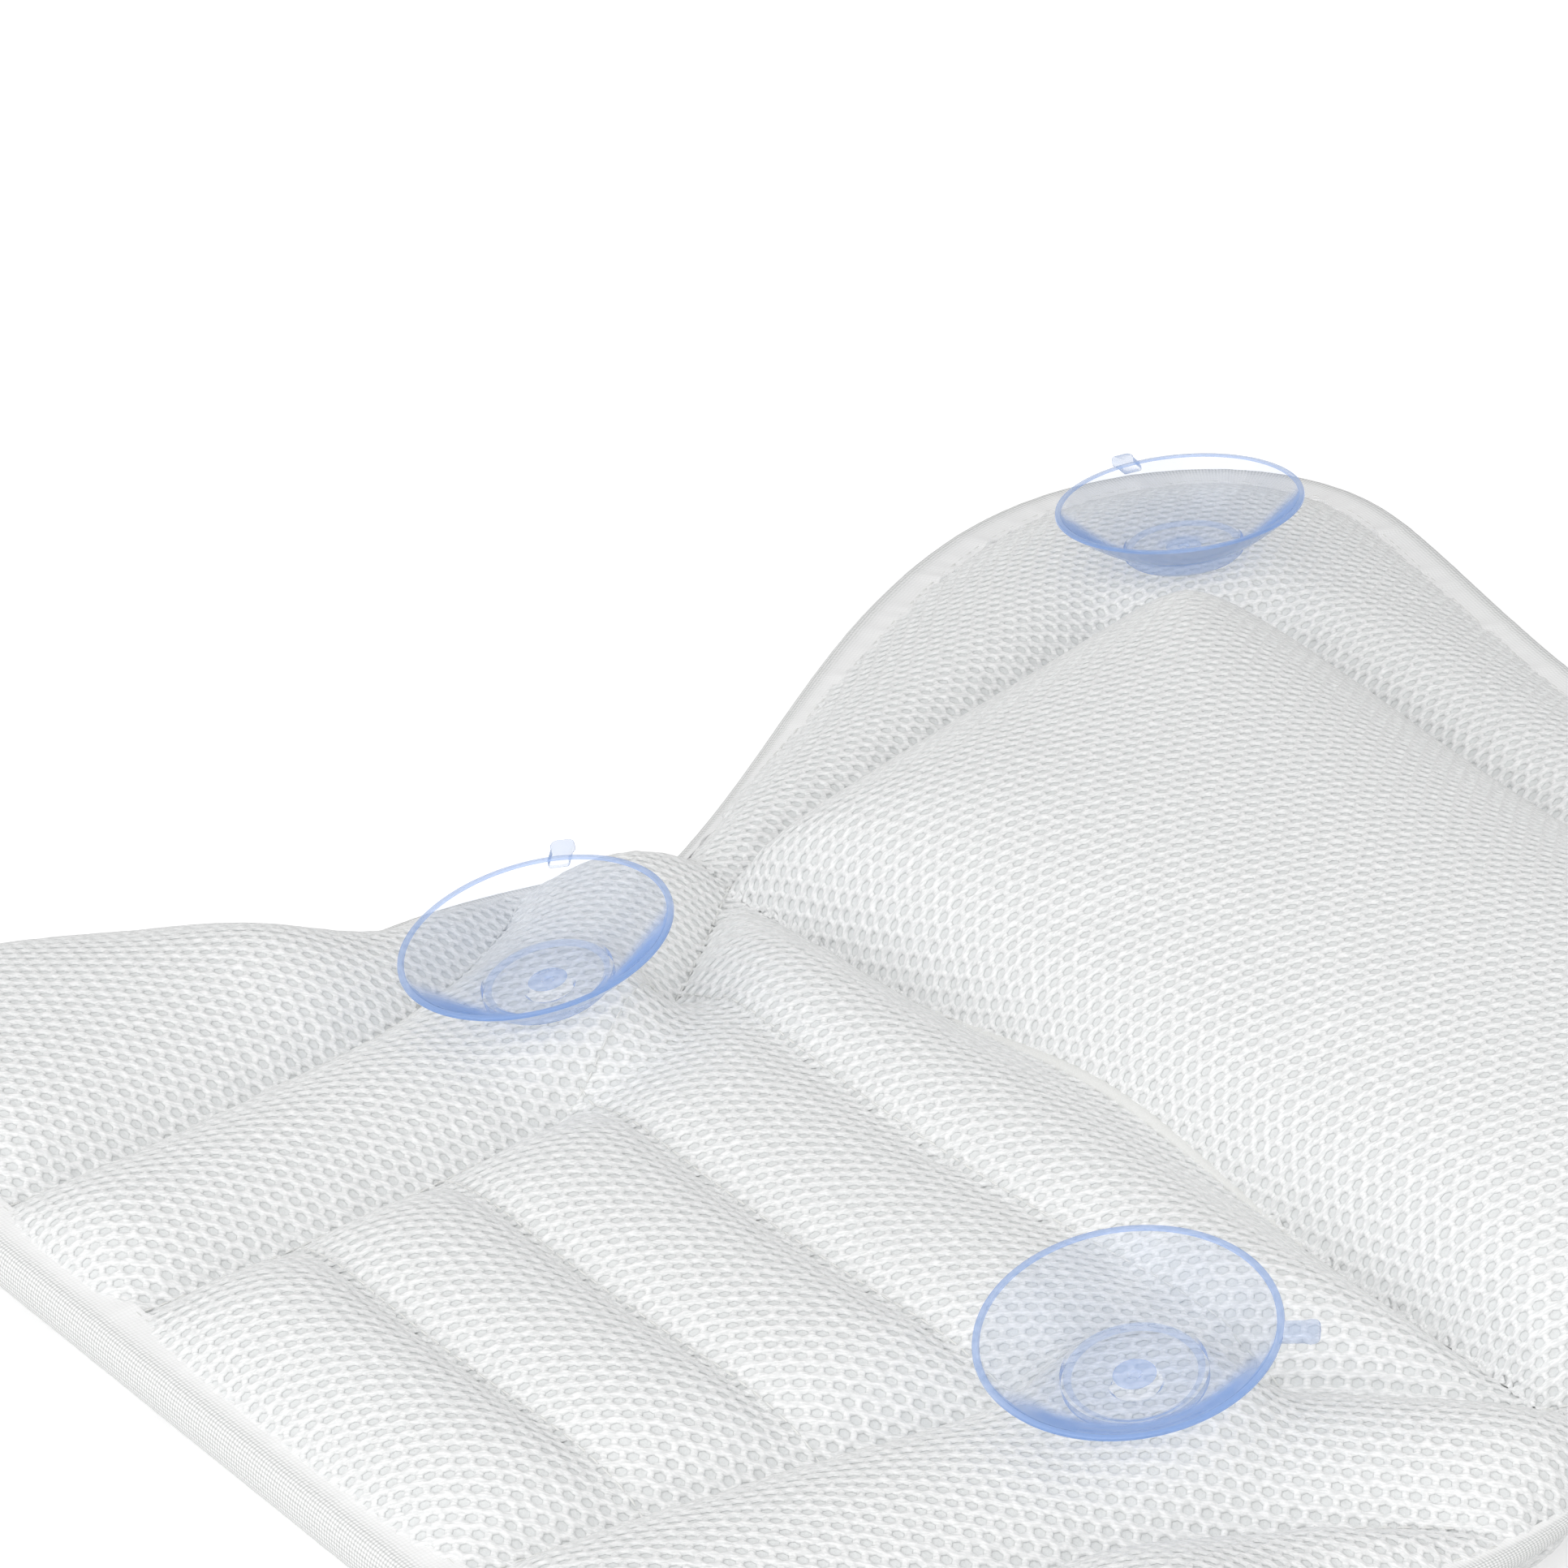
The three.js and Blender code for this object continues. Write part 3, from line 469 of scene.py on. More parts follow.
# Padded cushion: a plan mesh with its seams as edges, closed over both sides and swollen as simulated cloth
cushionSizes = {"step": 4.6, "clearShare": 0.6, "startFullness": 0.88, "pressure": 4.0, "frames": 20,
                "cap": 6.0, "groovePin": 0.5, "seamCrease": 0.7, "grooveCrease": 0.4, "flattenRounds": 10,
                "solveSteps": 90, "leastStiffness": 0.05}
headRun, shoulderRun = [evenSteps(edge, cushionSizes["step"]) for edge in (headEdge, shoulderEdge)]
outline = np.vstack([headRun, mirrored(headRun)[1:], shoulderRun[1:] * (-1, 1), shoulderRun[-2:0:-1]])
outlineLoop = np.vstack([outline, outline[:1]])
foldLine = np.array([(-size["waist"][0], 0), (size["waist"][0], 0)], float)
sewnLines = [chain(padSeam, mirrored(padSeam))]
for seam in (innerSeam, outerSeam):
    sewnLines += [seam, mirrored(seam)]


def joinLines(lines):   # points of the lines one after another, and the edges along each
    points = []
    edges = []
    for line in lines:
        edges += [(len(points) + i, len(points) + i + 1) for i in range(len(line) - 1)]
        points += list(line)
    return points, edges


def planMesh():
    step = cushionSizes["step"]
    lines = [outlineLoop] + [evenSteps(line, step) for line in [foldLine] + sewnLines + grooveLines]
    row = step * math.sqrt(3) / 2
    low, high = outline.min(0), outline.max(0)
    lattice = [(x + (step / 2 if k % 2 else 0), low[1] + k * row)
               for k in range(int((high[1] - low[1]) / row) + 1)
               for x in np.arange(low[0], high[0], step)]
    lattice = np.array(lattice)
    lattice = lattice[insideOf(lattice, outline)]
    for line in lines:
        lattice = lattice[distanceTo(lattice, line) > cushionSizes["clearShare"] * step]
    points, edges = joinLines(lines)
    found = delaunay_2d_cdt([Vector(p) for p in points + list(lattice)], edges, [], 1, 0.05)
    return np.array([tuple(v) for v in found[0]]), np.array(found[2])


def positionsOf(mesh):
    flat = np.zeros(len(mesh.vertices) * 3)
    mesh.vertices.foreach_get("co", flat)
    return flat.reshape(-1, 3)


def simulate(cushion, pins):
    sewn = cushion.vertex_groups.new(name="sewn")
    for weight in np.unique(pins[pins > 0]):
        sewn.add(np.flatnonzero(pins == weight).tolist(), float(weight), "REPLACE")
    cloth = cushion.modifiers.new("stuffing", "CLOTH")
    settings = cloth.settings
    settings.vertex_group_mass = "sewn"
    settings.use_pressure = True
    settings.uniform_pressure_force = cushionSizes["pressure"]
    settings.effector_weights.gravity = 0
    cloth.collision_settings.use_collision = False
    cloth.point_cache.frame_end = cushionSizes["frames"]
    for step in range(1, cushionSizes["frames"] + 1):
        scene.frame_set(step)
    swollen = cushion.evaluated_get(bpy.context.evaluated_depsgraph_get())
    before = positionsOf(cushion.data)
    move = positionsOf(swollen.data) - before
    cushion.modifiers.remove(cloth)
    cushion.vertex_groups.remove(sewn)
    scene.frame_set(1)
    length = np.linalg.norm(move, axis=1, keepdims=True)
    cap = cushionSizes["cap"] * 0.001
    after = before + move * np.minimum(1, cap / np.maximum(length, 1e-9))
    after[:, 2] = np.maximum(after[:, 2], quilt["netStand"] * 0.001)
    cushion.data.vertices.foreach_set("co", after.ravel())
    print("cushion swelled by up to", round(1000 * float(length.max()), 1), "mm")


# Lays a swollen side out flat with its triangles kept as rigid as they can be
def flatten(plan, space, faces):
    ab, ac = space[faces[:, 1]] - space[faces[:, 0]], space[faces[:, 2]] - space[faces[:, 0]]
    base = np.linalg.norm(ab, axis=1)
    along = (ab * ac).sum(1) / base
    flatFace = np.zeros((len(faces), 3, 2))
    flatFace[:, 1, 0] = base
    flatFace[:, 2] = np.column_stack([along, np.sqrt(np.maximum((ac * ac).sum(1) - along ** 2, 1e-12))])
    trueEdges = np.roll(flatFace, -1, axis=1) - flatFace
    toCorner, fromCorner = -np.roll(trueEdges, -1, axis=1), np.roll(trueEdges, -2, axis=1)
    cross = toCorner[..., 0] * fromCorner[..., 1] - toCorner[..., 1] * fromCorner[..., 0]
    stiff = np.maximum((toCorner * fromCorner).sum(2) / np.abs(cross), cushionSizes["leastStiffness"])
    first, last, pull = faces.ravel(), np.roll(faces, -1, axis=1).ravel(), stiff.ravel()
    count = len(plan)

    def scatter(flow):
        return np.bincount(last, flow, count) - np.bincount(first, flow, count)

    weight = np.bincount(first, pull, count) + np.bincount(last, pull, count)
    flat = plan.copy()
    for attempt in range(cushionSizes["flattenRounds"]):
        edges = (flat[last] - flat[first]).reshape(-1, 3, 2)
        fit = np.einsum("fk,fki,fkj->fij", stiff, edges, trueEdges)
        angle = np.arctan2(fit[:, 1, 0] - fit[:, 0, 1], fit[:, 0, 0] + fit[:, 1, 1])
        turn = np.array([[np.cos(angle), -np.sin(angle)], [np.sin(angle), np.cos(angle)]])
        wanted = np.einsum("ijf,fkj->fki", turn, trueEdges).reshape(-1, 2)
        for k in (0, 1):
            spot = flat[:, k]
            rest = scatter(pull * wanted[:, k]) - scatter(pull * (spot[last] - spot[first]))
            step = rest / weight
            energy = rest @ step
            for turnCount in range(cushionSizes["solveSteps"]):
                image = scatter(pull * (step[last] - step[first]))
                share = energy / max(step @ image, 1e-30)
                spot = spot + share * step
                rest = rest - share * image
                fresh = rest / weight
                newEnergy = rest @ fresh
                step = fresh + newEnergy / max(energy, 1e-30) * step
                energy = newEnergy
            flat[:, k] = spot
    edges = (flat[last] - flat[first]).reshape(-1, 3, 2)
    turned = edges[:, 0, 0] * edges[:, 1, 1] - edges[:, 0, 1] * edges[:, 1, 0]
    print("flat layout has", int((turned <= 0).sum()), "turned faces, mean stretch",
          round(float(np.mean(np.linalg.norm(edges, axis=2) / np.linalg.norm(trueEdges, axis=2))), 3))
    return flat


def makeCushion():
    plan, faces = planMesh()
    count = len(plan)
    onOutline = distanceTo(plan, outlineLoop) < 0.02
    frontIndex = np.where(onOutline, np.arange(count), count + np.cumsum(~onOutline) - 1)
    fullness = cushionSizes["startFullness"]
    back = np.column_stack([plan, np.where(onOutline, seamZ, backHeight(plan, fullness))])
    front = np.column_stack([plan, frontHeight(plan, fullness)])[~onOutline]
    mesh = bpy.data.meshes.new("pillow_cushion")
    allFaces = np.vstack([faces, frontIndex[faces][:, ::-1]])
    mesh.from_pydata(toMetres(np.vstack([back, front])).tolist(), [], allFaces.tolist())
    cushion = newPiece("pillow_cushion", mesh, pileMaterial)
    onSeam = np.min([distanceTo(plan, line) for line in sewnLines], axis=0) < 0.05
    onFold = (np.abs(plan[:, 1]) < 0.05) & (np.abs(plan[:, 0]) <= size["padFoot"][0] + 0.1)
    onGroove = np.min([distanceTo(plan, line) for line in grooveLines], axis=0) < 0.3
    fromSeats = [np.linalg.norm(plan - centre[:2], axis=1) for centre, axis in cupSeats]
    onSeat = np.min(fromSeats, axis=0) < quilt["seatRadius"]
    groovePins = np.where(onGroove, cushionSizes["groovePin"], 0.0)
    pinsBack = np.where(onOutline | onSeam | onFold | onSeat, 1.0, groovePins)
    pinsFront = np.where(onSeam | onFold, 1.0, groovePins)
    simulate(cushion, np.concatenate([pinsBack, pinsFront[~onOutline]]))
    spaceAll = positionsOf(mesh)
    corner = np.zeros(len(mesh.loops), int)
    mesh.loops.foreach_get("vertex_index", corner)
    flatBack = flatten(plan * 0.001, spaceAll[:count], faces)
    flatFront = flatten(plan * 0.001, spaceAll[frontIndex], faces) * (-1, 1) + (netSizes["frontAside"], 0)
    planOf = np.concatenate([np.arange(count), np.flatnonzero(~onOutline)])
    uv = np.vstack([flatBack[corner[:len(corner) // 2]], flatFront[planOf[corner[len(corner) // 2:]]]])
    mesh.uv_layers.new(name="UVMap").data.foreach_set("uv", uv.ravel())
    sharp = onSeam | onFold
    ends = planOf[np.array([edge.vertices[:] for edge in mesh.edges])]
    creases = np.where(sharp[ends].all(axis=1), cushionSizes["seamCrease"],
                       np.where((onGroove | sharp)[ends].all(axis=1), cushionSizes["grooveCrease"], 0.0))
    setValues(mesh, "crease_edge", creases, "EDGE")
    smooth = cushion.modifiers.new("smooth", "SUBSURF")
    smooth.levels = 1
    smooth.render_levels = 1
    fine = bakedMesh(cushion)
    cushion.modifiers.clear()
    cushion.data = fine
    fine.shade_smooth()
    normals = np.array([v.normal for v in fine.vertices])
    fine.attributes.new("sheetNormal", "FLOAT_VECTOR", "POINT").data.foreach_set("vector", normals.ravel())
    place = positionsOf(fine)[:, :2] * 1000 - (0, foldY)
    share = tapeShare(place[:, 1])
    underTape = distanceTo(place, outlineLoop) + netSizes["waistReach"] * (1 - share) \
        - netSizes["underTape"] * tapeSizes["width"] * share
    for panel, side in (("head", 1), ("shoulder", -1)):
        cover = np.minimum(underTape, side * place[:, 1] + netSizes["foldOverlap"])
        setValues(fine, panel + "Cover", cover)
    print("cushion has", len(fine.polygons), "faces")
    return cushion


cushion = makeCushion()


# A Geometry Nodes tree with a geometry output and named inputs, listed by their kind
def newTree(name, inputs):
    tree = bpy.data.node_groups.new(name, "GeometryNodeTree")
    tree.interface.new_socket("Geometry", in_out="OUTPUT", socket_type="NodeSocketGeometry")
    sockets = {key: tree.interface.new_socket(key, in_out="INPUT", socket_type="NodeSocket" + kind)
               for kind, keys in inputs.items() for key in keys}
    return tree, sockets, tree.nodes.new("NodeGroupInput").outputs, partial(addNode, tree)


def endTree(add, shape, material):   # shades the result smooth, gives it its material and sends it out
    rounded = add("GeometryNodeSetShadeSmooth", {"Geometry": shape}, domain="FACE")
    dressed = add("GeometryNodeSetMaterial", {"Geometry": rounded, "Material": material})
    add("NodeGroupOutput", {0: dressed})


# Net of the spacer cloth: oval eyes between rounded strands, laid over the cushion by its flat layout
def netTree():
    tree, sockets, given, add = newTree("spacer net", {
        "Object": ["Cushion"], "Int": ["Count"], "String": ["Cover"], "Material": ["Yarn"],
        "Float": ["Cell radius", "Foot share", "Deepest", "Stand", "Width", "Height", "Row shift", "Weld"],
        "Vector": ["Eye scale", "Eye drop", "Wall", "Turn", "Centre"]})
    place = add("GeometryNodeInputPosition")

    # One eye: a hexagon whose face is shrunk, lowered and pushed down to leave a rounded rim with walls
    hexagon = add("GeometryNodeMeshCircle", {"Vertices": 6, "Radius": given["Cell radius"]}, fill_type="NGON")
    upright = add("GeometryNodeTransform", {"Geometry": hexagon, "Rotation": (0, 0, math.radians(30))})
    rim = add("GeometryNodeExtrudeMesh", {"Mesh": upright, "Offset Scale": 0.0, "Individual": False},
              mode="FACES")
    oval = add("ShaderNodeVectorMath", {0: place, 1: given["Eye scale"], 2: given["Eye drop"]},
               operation="MULTIPLY_ADD")
    lowered = add("GeometryNodeSetPosition",
                  {"Geometry": rim, "Selection": rim.outputs["Top"], "Position": oval})
    wall = add("GeometryNodeExtrudeMesh",
               {"Mesh": lowered, "Selection": rim.outputs["Top"], "Offset": given["Wall"],
                "Offset Scale": 1.0, "Individual": False}, mode="FACES")
    foot = add("GeometryNodeScaleElements",
               {"Geometry": wall, "Selection": wall.outputs["Top"], "Scale": given["Foot share"]},
               domain="FACE")
    eye = add("GeometryNodeDeleteGeometry", {"Geometry": foot, "Selection": wall.outputs["Top"]},
              domain="FACE", mode="ALL")

    # Places of the eyes: rows three quarters of a hexagon apart, every other row half a pitch along
    grid = add("GeometryNodeMeshGrid", {
        "Size X": given["Width"], "Size Y": given["Height"],
        "Vertices X": given["Count"], "Vertices Y": given["Count"]})
    odd = add("ShaderNodeMath", {0: add("GeometryNodeInputIndex"), 1: 2.0}, operation="FLOORED_MODULO")
    shift = add("ShaderNodeMath", {0: odd, 1: given["Row shift"]}, operation="MULTIPLY")
    aside = add("ShaderNodeCombineXYZ", {"X": shift})
    laid = add("GeometryNodeSetPosition", {"Geometry": grid, "Offset": aside})
    eyes = add("GeometryNodeInstanceOnPoints", {"Points": laid, "Instance": eye})
    real = add("GeometryNodeRealizeInstances", {"Geometry": eyes})
    joined = add("GeometryNodeMergeByDistance", {"Geometry": real, "Distance": given["Weld"]})
    level = add("ShaderNodeSeparateXYZ", {0: place}).outputs["Z"]
    # strand runs from 0 at the deepest point to 1 on the rim tops; the yarn material uses it to paint shade
    # down the walls and highlights on the tops
    strand = add("ShaderNodeMapRange", {"Value": level, "From Min": given["Deepest"], "From Max": 0.0})
    marked = add("GeometryNodeStoreNamedAttribute", {"Geometry": joined, "Name": "strand", "Value": strand},
                 data_type="FLOAT", domain="POINT")
    rows = add("GeometryNodeStoreNamedAttribute", {"Geometry": marked, "Name": "yarn", "Value": place},
               data_type="FLOAT_VECTOR", domain="POINT")
    flatNet = add("GeometryNodeTransform",
                  {"Geometry": rows, "Translation": given["Centre"], "Rotation": given["Turn"]})

    # From the flat layout to the cushion's surface, without what lies outside the net's own part of it
    body = add("GeometryNodeObjectInfo", {"Object": given["Cushion"]}, transform_space="RELATIVE")
    layout = add("GeometryNodeInputNamedAttribute", {"Name": "UVMap"}, data_type="FLOAT_VECTOR")
    normal = add("GeometryNodeInputNamedAttribute", {"Name": "sheetNormal"}, data_type="FLOAT_VECTOR")
    cover = add("GeometryNodeInputNamedAttribute", {"Name": given["Cover"]}, data_type="FLOAT")
    surface, outward, wanted = [
        add("GeometryNodeSampleUVSurface", data_type=kind, inputs={
            "Mesh": body.outputs["Geometry"], "Value": value, "UV Map": layout, "Sample UV": place})
        for value, kind in ((place, "FLOAT_VECTOR"), (normal, "FLOAT_VECTOR"), (cover, "FLOAT"))]
    beyond = add("FunctionNodeCompare", {0: wanted, 1: 0.0}, data_type="FLOAT", operation="LESS_THAN")
    missing = add("FunctionNodeBooleanMath", {0: surface.outputs["Is Valid"]}, operation="NOT")
    unwanted = add("FunctionNodeBooleanMath", {0: beyond, 1: missing}, operation="OR")
    trimmed = add("GeometryNodeDeleteGeometry", {"Geometry": flatNet, "Selection": unwanted},
                  domain="FACE", mode="ALL")
    whole = add("GeometryNodeDeleteGeometry", {"Geometry": trimmed, "Selection": missing},
                domain="POINT", mode="ALL")
    above = add("ShaderNodeMath", {0: level, 1: given["Stand"]}, operation="ADD")
    lift = add("ShaderNodeVectorMath", {0: outward, "Scale": above}, operation="SCALE")
    raised = add("ShaderNodeVectorMath", {0: surface, 1: lift}, operation="ADD")
    draped = add("GeometryNodeSetPosition", {"Geometry": whole, "Position": raised})
    endTree(add, draped, given["Yarn"])
    return tree, sockets


# Runs a node tree on a new object and keeps its result as a plain mesh
def bakeTree(name, tree, sockets, values, mesh=None):
    piece = newPiece(name, mesh or bpy.data.meshes.new(name))
    modifier = piece.modifiers.new("make", "NODES")
    modifier.node_group = tree
    for key, value in values.items():
        modifier[sockets[key].identifier] = value
    result = bakedMesh(piece)
    piece.modifiers.clear()
    piece.data = result
    print(name, "has", len(result.polygons), "faces")
    return piece


def makeNets():
    tree, sockets = netTree()
    nets = {}
    n = netSizes
    pitch = n["pitch"] * 0.001
    radius = pitch / math.sqrt(3)
    count = 2 * int(n["span"] / n["pitch"] / math.sqrt(3))
    values = {"Cushion": cushion, "Cell radius": radius, "Eye scale": (*n["eyeShares"], 1.0),
              "Eye drop": (0, 0, -0.001 * n["rimDrop"]), "Wall": (0, 0, -0.001 * n["wall"]),
              "Foot share": n["footShare"], "Deepest": -0.001 * (n["rimDrop"] + n["wall"]),
              "Stand": quilt["netStand"] * 0.001, "Count": count, "Width": pitch * (count - 1),
              "Height": 1.5 * radius * (count - 1), "Row shift": pitch / 2, "Weld": n["weldShare"] * pitch,
              "Yarn": strandMaterial}
    for panel in ("head", "shoulder"):
        values["Turn"] = (0, 0, math.radians(n["turns"][panel]))
        values["Cover"] = panel + "Cover"
        for face, aside in (("back", 0.0), ("front", n["frontAside"])):
            values["Centre"] = (aside, 0, 0)
            nets[panel, face] = bakeTree(f"{panel}_{face}_net", tree, sockets, values)
    return nets


nets = makeNets()


def tapeRun(edge):
    lap = (edge[0] - edge[1]) * tapeSizes["foldLap"] / abs(edge[1][1])
    right = np.vstack([edge[0] + lap, evenSteps(edge, tapeSizes["step"])])
    return np.vstack([right, mirrored(right)[1:]])


def runFrames(run):   # inward directions and lengths along a run
    along = np.gradient(run, axis=0)
    along /= np.linalg.norm(along, axis=1, keepdims=True)
    inward = np.column_stack([-along[:, 1], along[:, 0]]) * (1 if run[2][1] > 0 else -1)
    return inward, lengthsAlong(run)


# Places round the folded tape, outside then inside: share of the flat's width, offset inwards and height
def tapeSection():
    t = tapeSizes
    turn = np.linspace(math.pi / 2, -math.pi / 2, t["bendSteps"])
    bend = [(t["bendShare"], -t["bendReach"] * math.cos(a), t["half"] * math.sin(a)) for a in turn]
    flat = [(share, 0, t["half"]) for share in t["flatShares"]]
    inner = t["half"] - t["thickness"]
    upper = [(t["lipShare"], 0, inner + t["lipRise"])] + flat
    outside = upper + bend + [(share, x, -z) for share, x, z in upper[::-1]]
    inside = [(1.0, 0, -inner), (0, t["innerGap"], -inner), (0, t["innerGap"], inner), (1.0, 0, inner)]
    return outside, inside


def tapeHeight(share):   # share of the tape's full height where it has a share of its width
    return tapeSizes["foldHeight"] + (1 - tapeSizes["foldHeight"]) * share


def makeTape(name, edge):
    t = tapeSizes
    run = tapeRun(edge)
    inward, travel = runFrames(run)
    widths = tapeShare(run[:, 1])
    outside, inside = tapeSection()
    section = outside + inside
    waves = [np.sin(2 * math.pi * travel / pitch + phase) for pitch, phase in zip(t["pitches"], t["phases"])]
    wave = sum(waves) / len(waves)
    vertices = []
    bends = []
    for point, into, width, high, pucker in zip(run, inward, t["width"] * widths, tapeHeight(widths), wave):
        for k, (share, offset, z) in enumerate(section):
            loose = t["pucker"] * pucker * share if k < len(outside) else 0.0
            x = share * (width + t["puckerSpread"] * loose) + offset * (1 + high) / 2
            vertices.append((*(point + into * x), seamZ + high * (z + math.copysign(loose, z))))
            bends.append(1.0 if share == t["bendShare"] else max(0.0, t["flatShade"] - share))
    mesh = skinMesh(name, len(run), vertices)
    around = [(share * t["width"] + offset, z) for share, offset, z in section]
    girth = lengthsAlong(around)
    layer = mesh.uv_layers.new(name="UVMap").data
    for loop in mesh.loops:
        row, spot = divmod(loop.vertex_index, len(section))
        layer[loop.index].uv = (travel[row] * 0.001, girth[spot] * 0.001)
    setValues(mesh, "bend", bends)
    mesh.set_sharp_from_angle(angle=math.radians(t["sharpAngle"]))
    return newPiece(name, mesh, tapeMaterial)


tapes = {"head": makeTape("head_tape", headEdge), "shoulder": makeTape("shoulder_tape", shoulderEdge)}

# Stitches along the seams and the tape, as short rounded lengths of thread
stitchSizes = {"pitch": 3.2, "length": 2.5, "thread": 0.45, "lineStep": 2.0, "seamLift": 1.0, "tapeLift": 0.1,
               "tapeInset": 1.3, "leastShare": 0.4}


def stitchTree():
    tree, sockets, given, add = newTree("stitches", {
        "Geometry": ["Line"], "Float": ["Pitch", "Length", "Thread"], "Material": ["Yarn"]})
    path = add("GeometryNodeMeshToCurve", {"Mesh": given["Line"]})
    spots = add("GeometryNodeCurveToPoints", {"Curve": path, "Length": given["Pitch"]}, mode="LENGTH")
    bead = add("GeometryNodeMeshUVSphere", {"Segments": 6, "Rings": 5, "Radius": 0.5})
    shape = add("ShaderNodeCombineXYZ", {"X": given["Thread"], "Y": given["Thread"], "Z": given["Length"]})
    stitches = add("GeometryNodeInstanceOnPoints", {
        "Points": spots, "Instance": bead, "Rotation": spots.outputs["Rotation"], "Scale": shape})
    real = add("GeometryNodeRealizeInstances", {"Geometry": stitches})
    endTree(add, real, given["Yarn"])
    return tree, sockets


def lineMesh(name, lines):
    vertices, edges = joinLines(lines)
    mesh = bpy.data.meshes.new(name)
    mesh.from_pydata(toMetres(vertices).tolist(), edges, [])
    return mesh


def seamPath(line):
    fine = evenSteps(line, stitchSizes["lineStep"])
    fromEdges = [distanceTo(fine, edge * (side, 1)) for edge in (headEdge, shoulderEdge) for side in (1, -1)]
    fine = fine[np.min(fromEdges, axis=0) > tapeSizes["width"]]
    return np.column_stack([fine, backHeight(fine, 1.0) + stitchSizes["seamLift"]])


def tapePath(edge):
    run = tapeRun(edge)
    inward, travel = runFrames(run)
    share = tapeShare(run[:, 1:])
    path = run + inward * (tapeSizes["width"] * share - stitchSizes["tapeInset"])
    height = seamZ + tapeHeight(share) * tapeSizes["half"] + stitchSizes["tapeLift"]
    return np.hstack([path, height])[share[:, 0] > stitchSizes["leastShare"]]


def makeStitches():
    tree, sockets = stitchTree()
    values = {key: stitchSizes[key.lower()] * 0.001 for key in ("Pitch", "Length", "Thread")}
    values["Yarn"] = threadMaterial
    paths = {"head_seam_stitches": [seamPath(sewnLines[0])],
             "shoulder_seam_stitches": [seamPath(line) for line in sewnLines[1:] + grooveLines],
             "head_tape_stitches": [tapePath(headEdge)], "shoulder_tape_stitches": [tapePath(shoulderEdge)]}
    return {name: bakeTree(name, tree, sockets, values, lineMesh(name, lines))
            for name, lines in paths.items()}


stitches = makeStitches()

# Cord of stitching in the crease between the panels, thinner towards its ends
cordSizes = {"radius": 1.4, "share": 0.86, "sink": 1.6, "sides": 12, "taperPower": 8, "tipShare": 0.02}


def makeFoldCord():
    c = cordSizes
    path = seamPath(foldLine * (c["share"], 1)) - (0, 0, c["sink"])
    turns = np.arange(c["sides"]) * 2 * math.pi / c["sides"]
    ring = np.column_stack([np.zeros(c["sides"]), np.cos(turns), np.sin(turns)])
    taper = np.maximum(1 - (path[:, 0] / path[-1, 0]) ** c["taperPower"], c["tipShare"])
    vertices = (path[:, None] + (c["radius"] * np.sqrt(taper))[:, None, None] * ring).reshape(-1, 3)
    return newPiece("fold_cord", skinMesh("fold_cord", len(path), vertices), threadMaterial)


foldCord = makeFoldCord()

# Suction cup, measured from the underside of its base and turned about the stud's axis; the tab's shares are
# of its width, at distances from its end
cupSizes = {"rimRadius": 24.5, "height": 11.0, "lip": 1.0, "baseRadius": 11.8, "baseHeight": 2.2,
            "floorRadius": 10.6, "floorHeight": 1.7, "floorRing": 0.45, "studRadius": 4.0, "studDepth": 4.7,
            "headRadius": 7.5, "headHeight": 3.6, "headBevel": 1.5, "studFillet": 0.6, "baseBevel": 0.5,
            "outerHandles": ((5.0, 2.0), (-4.2, -3.3)), "innerHandles": ((-4.1, -3.2), (4.8, 1.8)),
            "wallSteps": 14, "floorStep": 0.25, "pipStep": 0.15, "dimple": 0.5, "sides": 96,
            "tabWidth": 4.5, "tabReach": 5.5, "tabThickness": 1.8, "tabDrop": 0.3, "tabRound": 0.45,
            "tabShares": ((2.5, 0.85), (1.5, 1.0), (0.5, 0.9), (0, 0.6)), "sharpAngle": 38,
            "tabTurns": {"head": 16.0, "waist": 45.0},
            "tabBulk": 0.3, "rimBulk": 0.65, "baseBulk": 0.4, "studBulk": 0.45, "ringBulk": 0.3}


def cupProfile():
    c = cupSizes
    rim, base, floor, stud, head = [c[part + "Radius"] for part in ("rim", "base", "floor", "stud", "head")]
    top, lip, level, neck = c["height"], c["lip"], c["floorHeight"], -c["studDepth"]
    end, bevel, fillet, edge = neck - c["headHeight"], c["headBevel"], c["studFillet"], c["baseBevel"]
    low, pip, dimple = level - c["floorStep"], level - c["pipStep"], level - c["dimple"]
    below = [(0, end), (head - bevel, end), (head, end + bevel), (head, neck), (stud, neck), (stud, -fillet),
             (stud + fillet, 0), (base - edge, 0), (base, edge), (base, c["baseHeight"] - 0.3)]
    outer = bezier((base, c["baseHeight"]), (rim, top - 0.5), c["outerHandles"], c["wallSteps"])
    edging = [(rim - 0.1, top - 0.12), (rim - 0.35, top), (rim - lip, top - 0.05)]
    inner = bezier((rim - lip - 0.25, top - 0.4), (floor + 0.6, level + c["floorRing"]), c["innerHandles"],
                   c["wallSteps"])
    inside = [(floor, level), (floor - 0.6, low), (stud, low), (stud - 0.5, pip), (1.2, pip), (0.8, dimple),
              (0, dimple)]
    return [tuple(p) for p in below + list(outer) + edging + list(inner) + inside]


def cupBody():
    cup = bmesh.new()
    sides = cupSizes["sides"]
    rings = []
    for radius, height in cupProfile():
        if radius == 0:
            rings.append([cup.verts.new((0, 0, height))] * sides)
        else:
            rings.append([cup.verts.new((radius * math.cos(a), radius * math.sin(a), height))
                          for a in np.arange(sides) * 2 * math.pi / sides])
    for low, high in zip(rings, rings[1:]):
        for k in range(sides):
            corners = [low[k - 1], low[k], high[k], high[k - 1]]
            cup.faces.new(list(dict.fromkeys(corners)))
    return toMesh(cup, "cup_body")


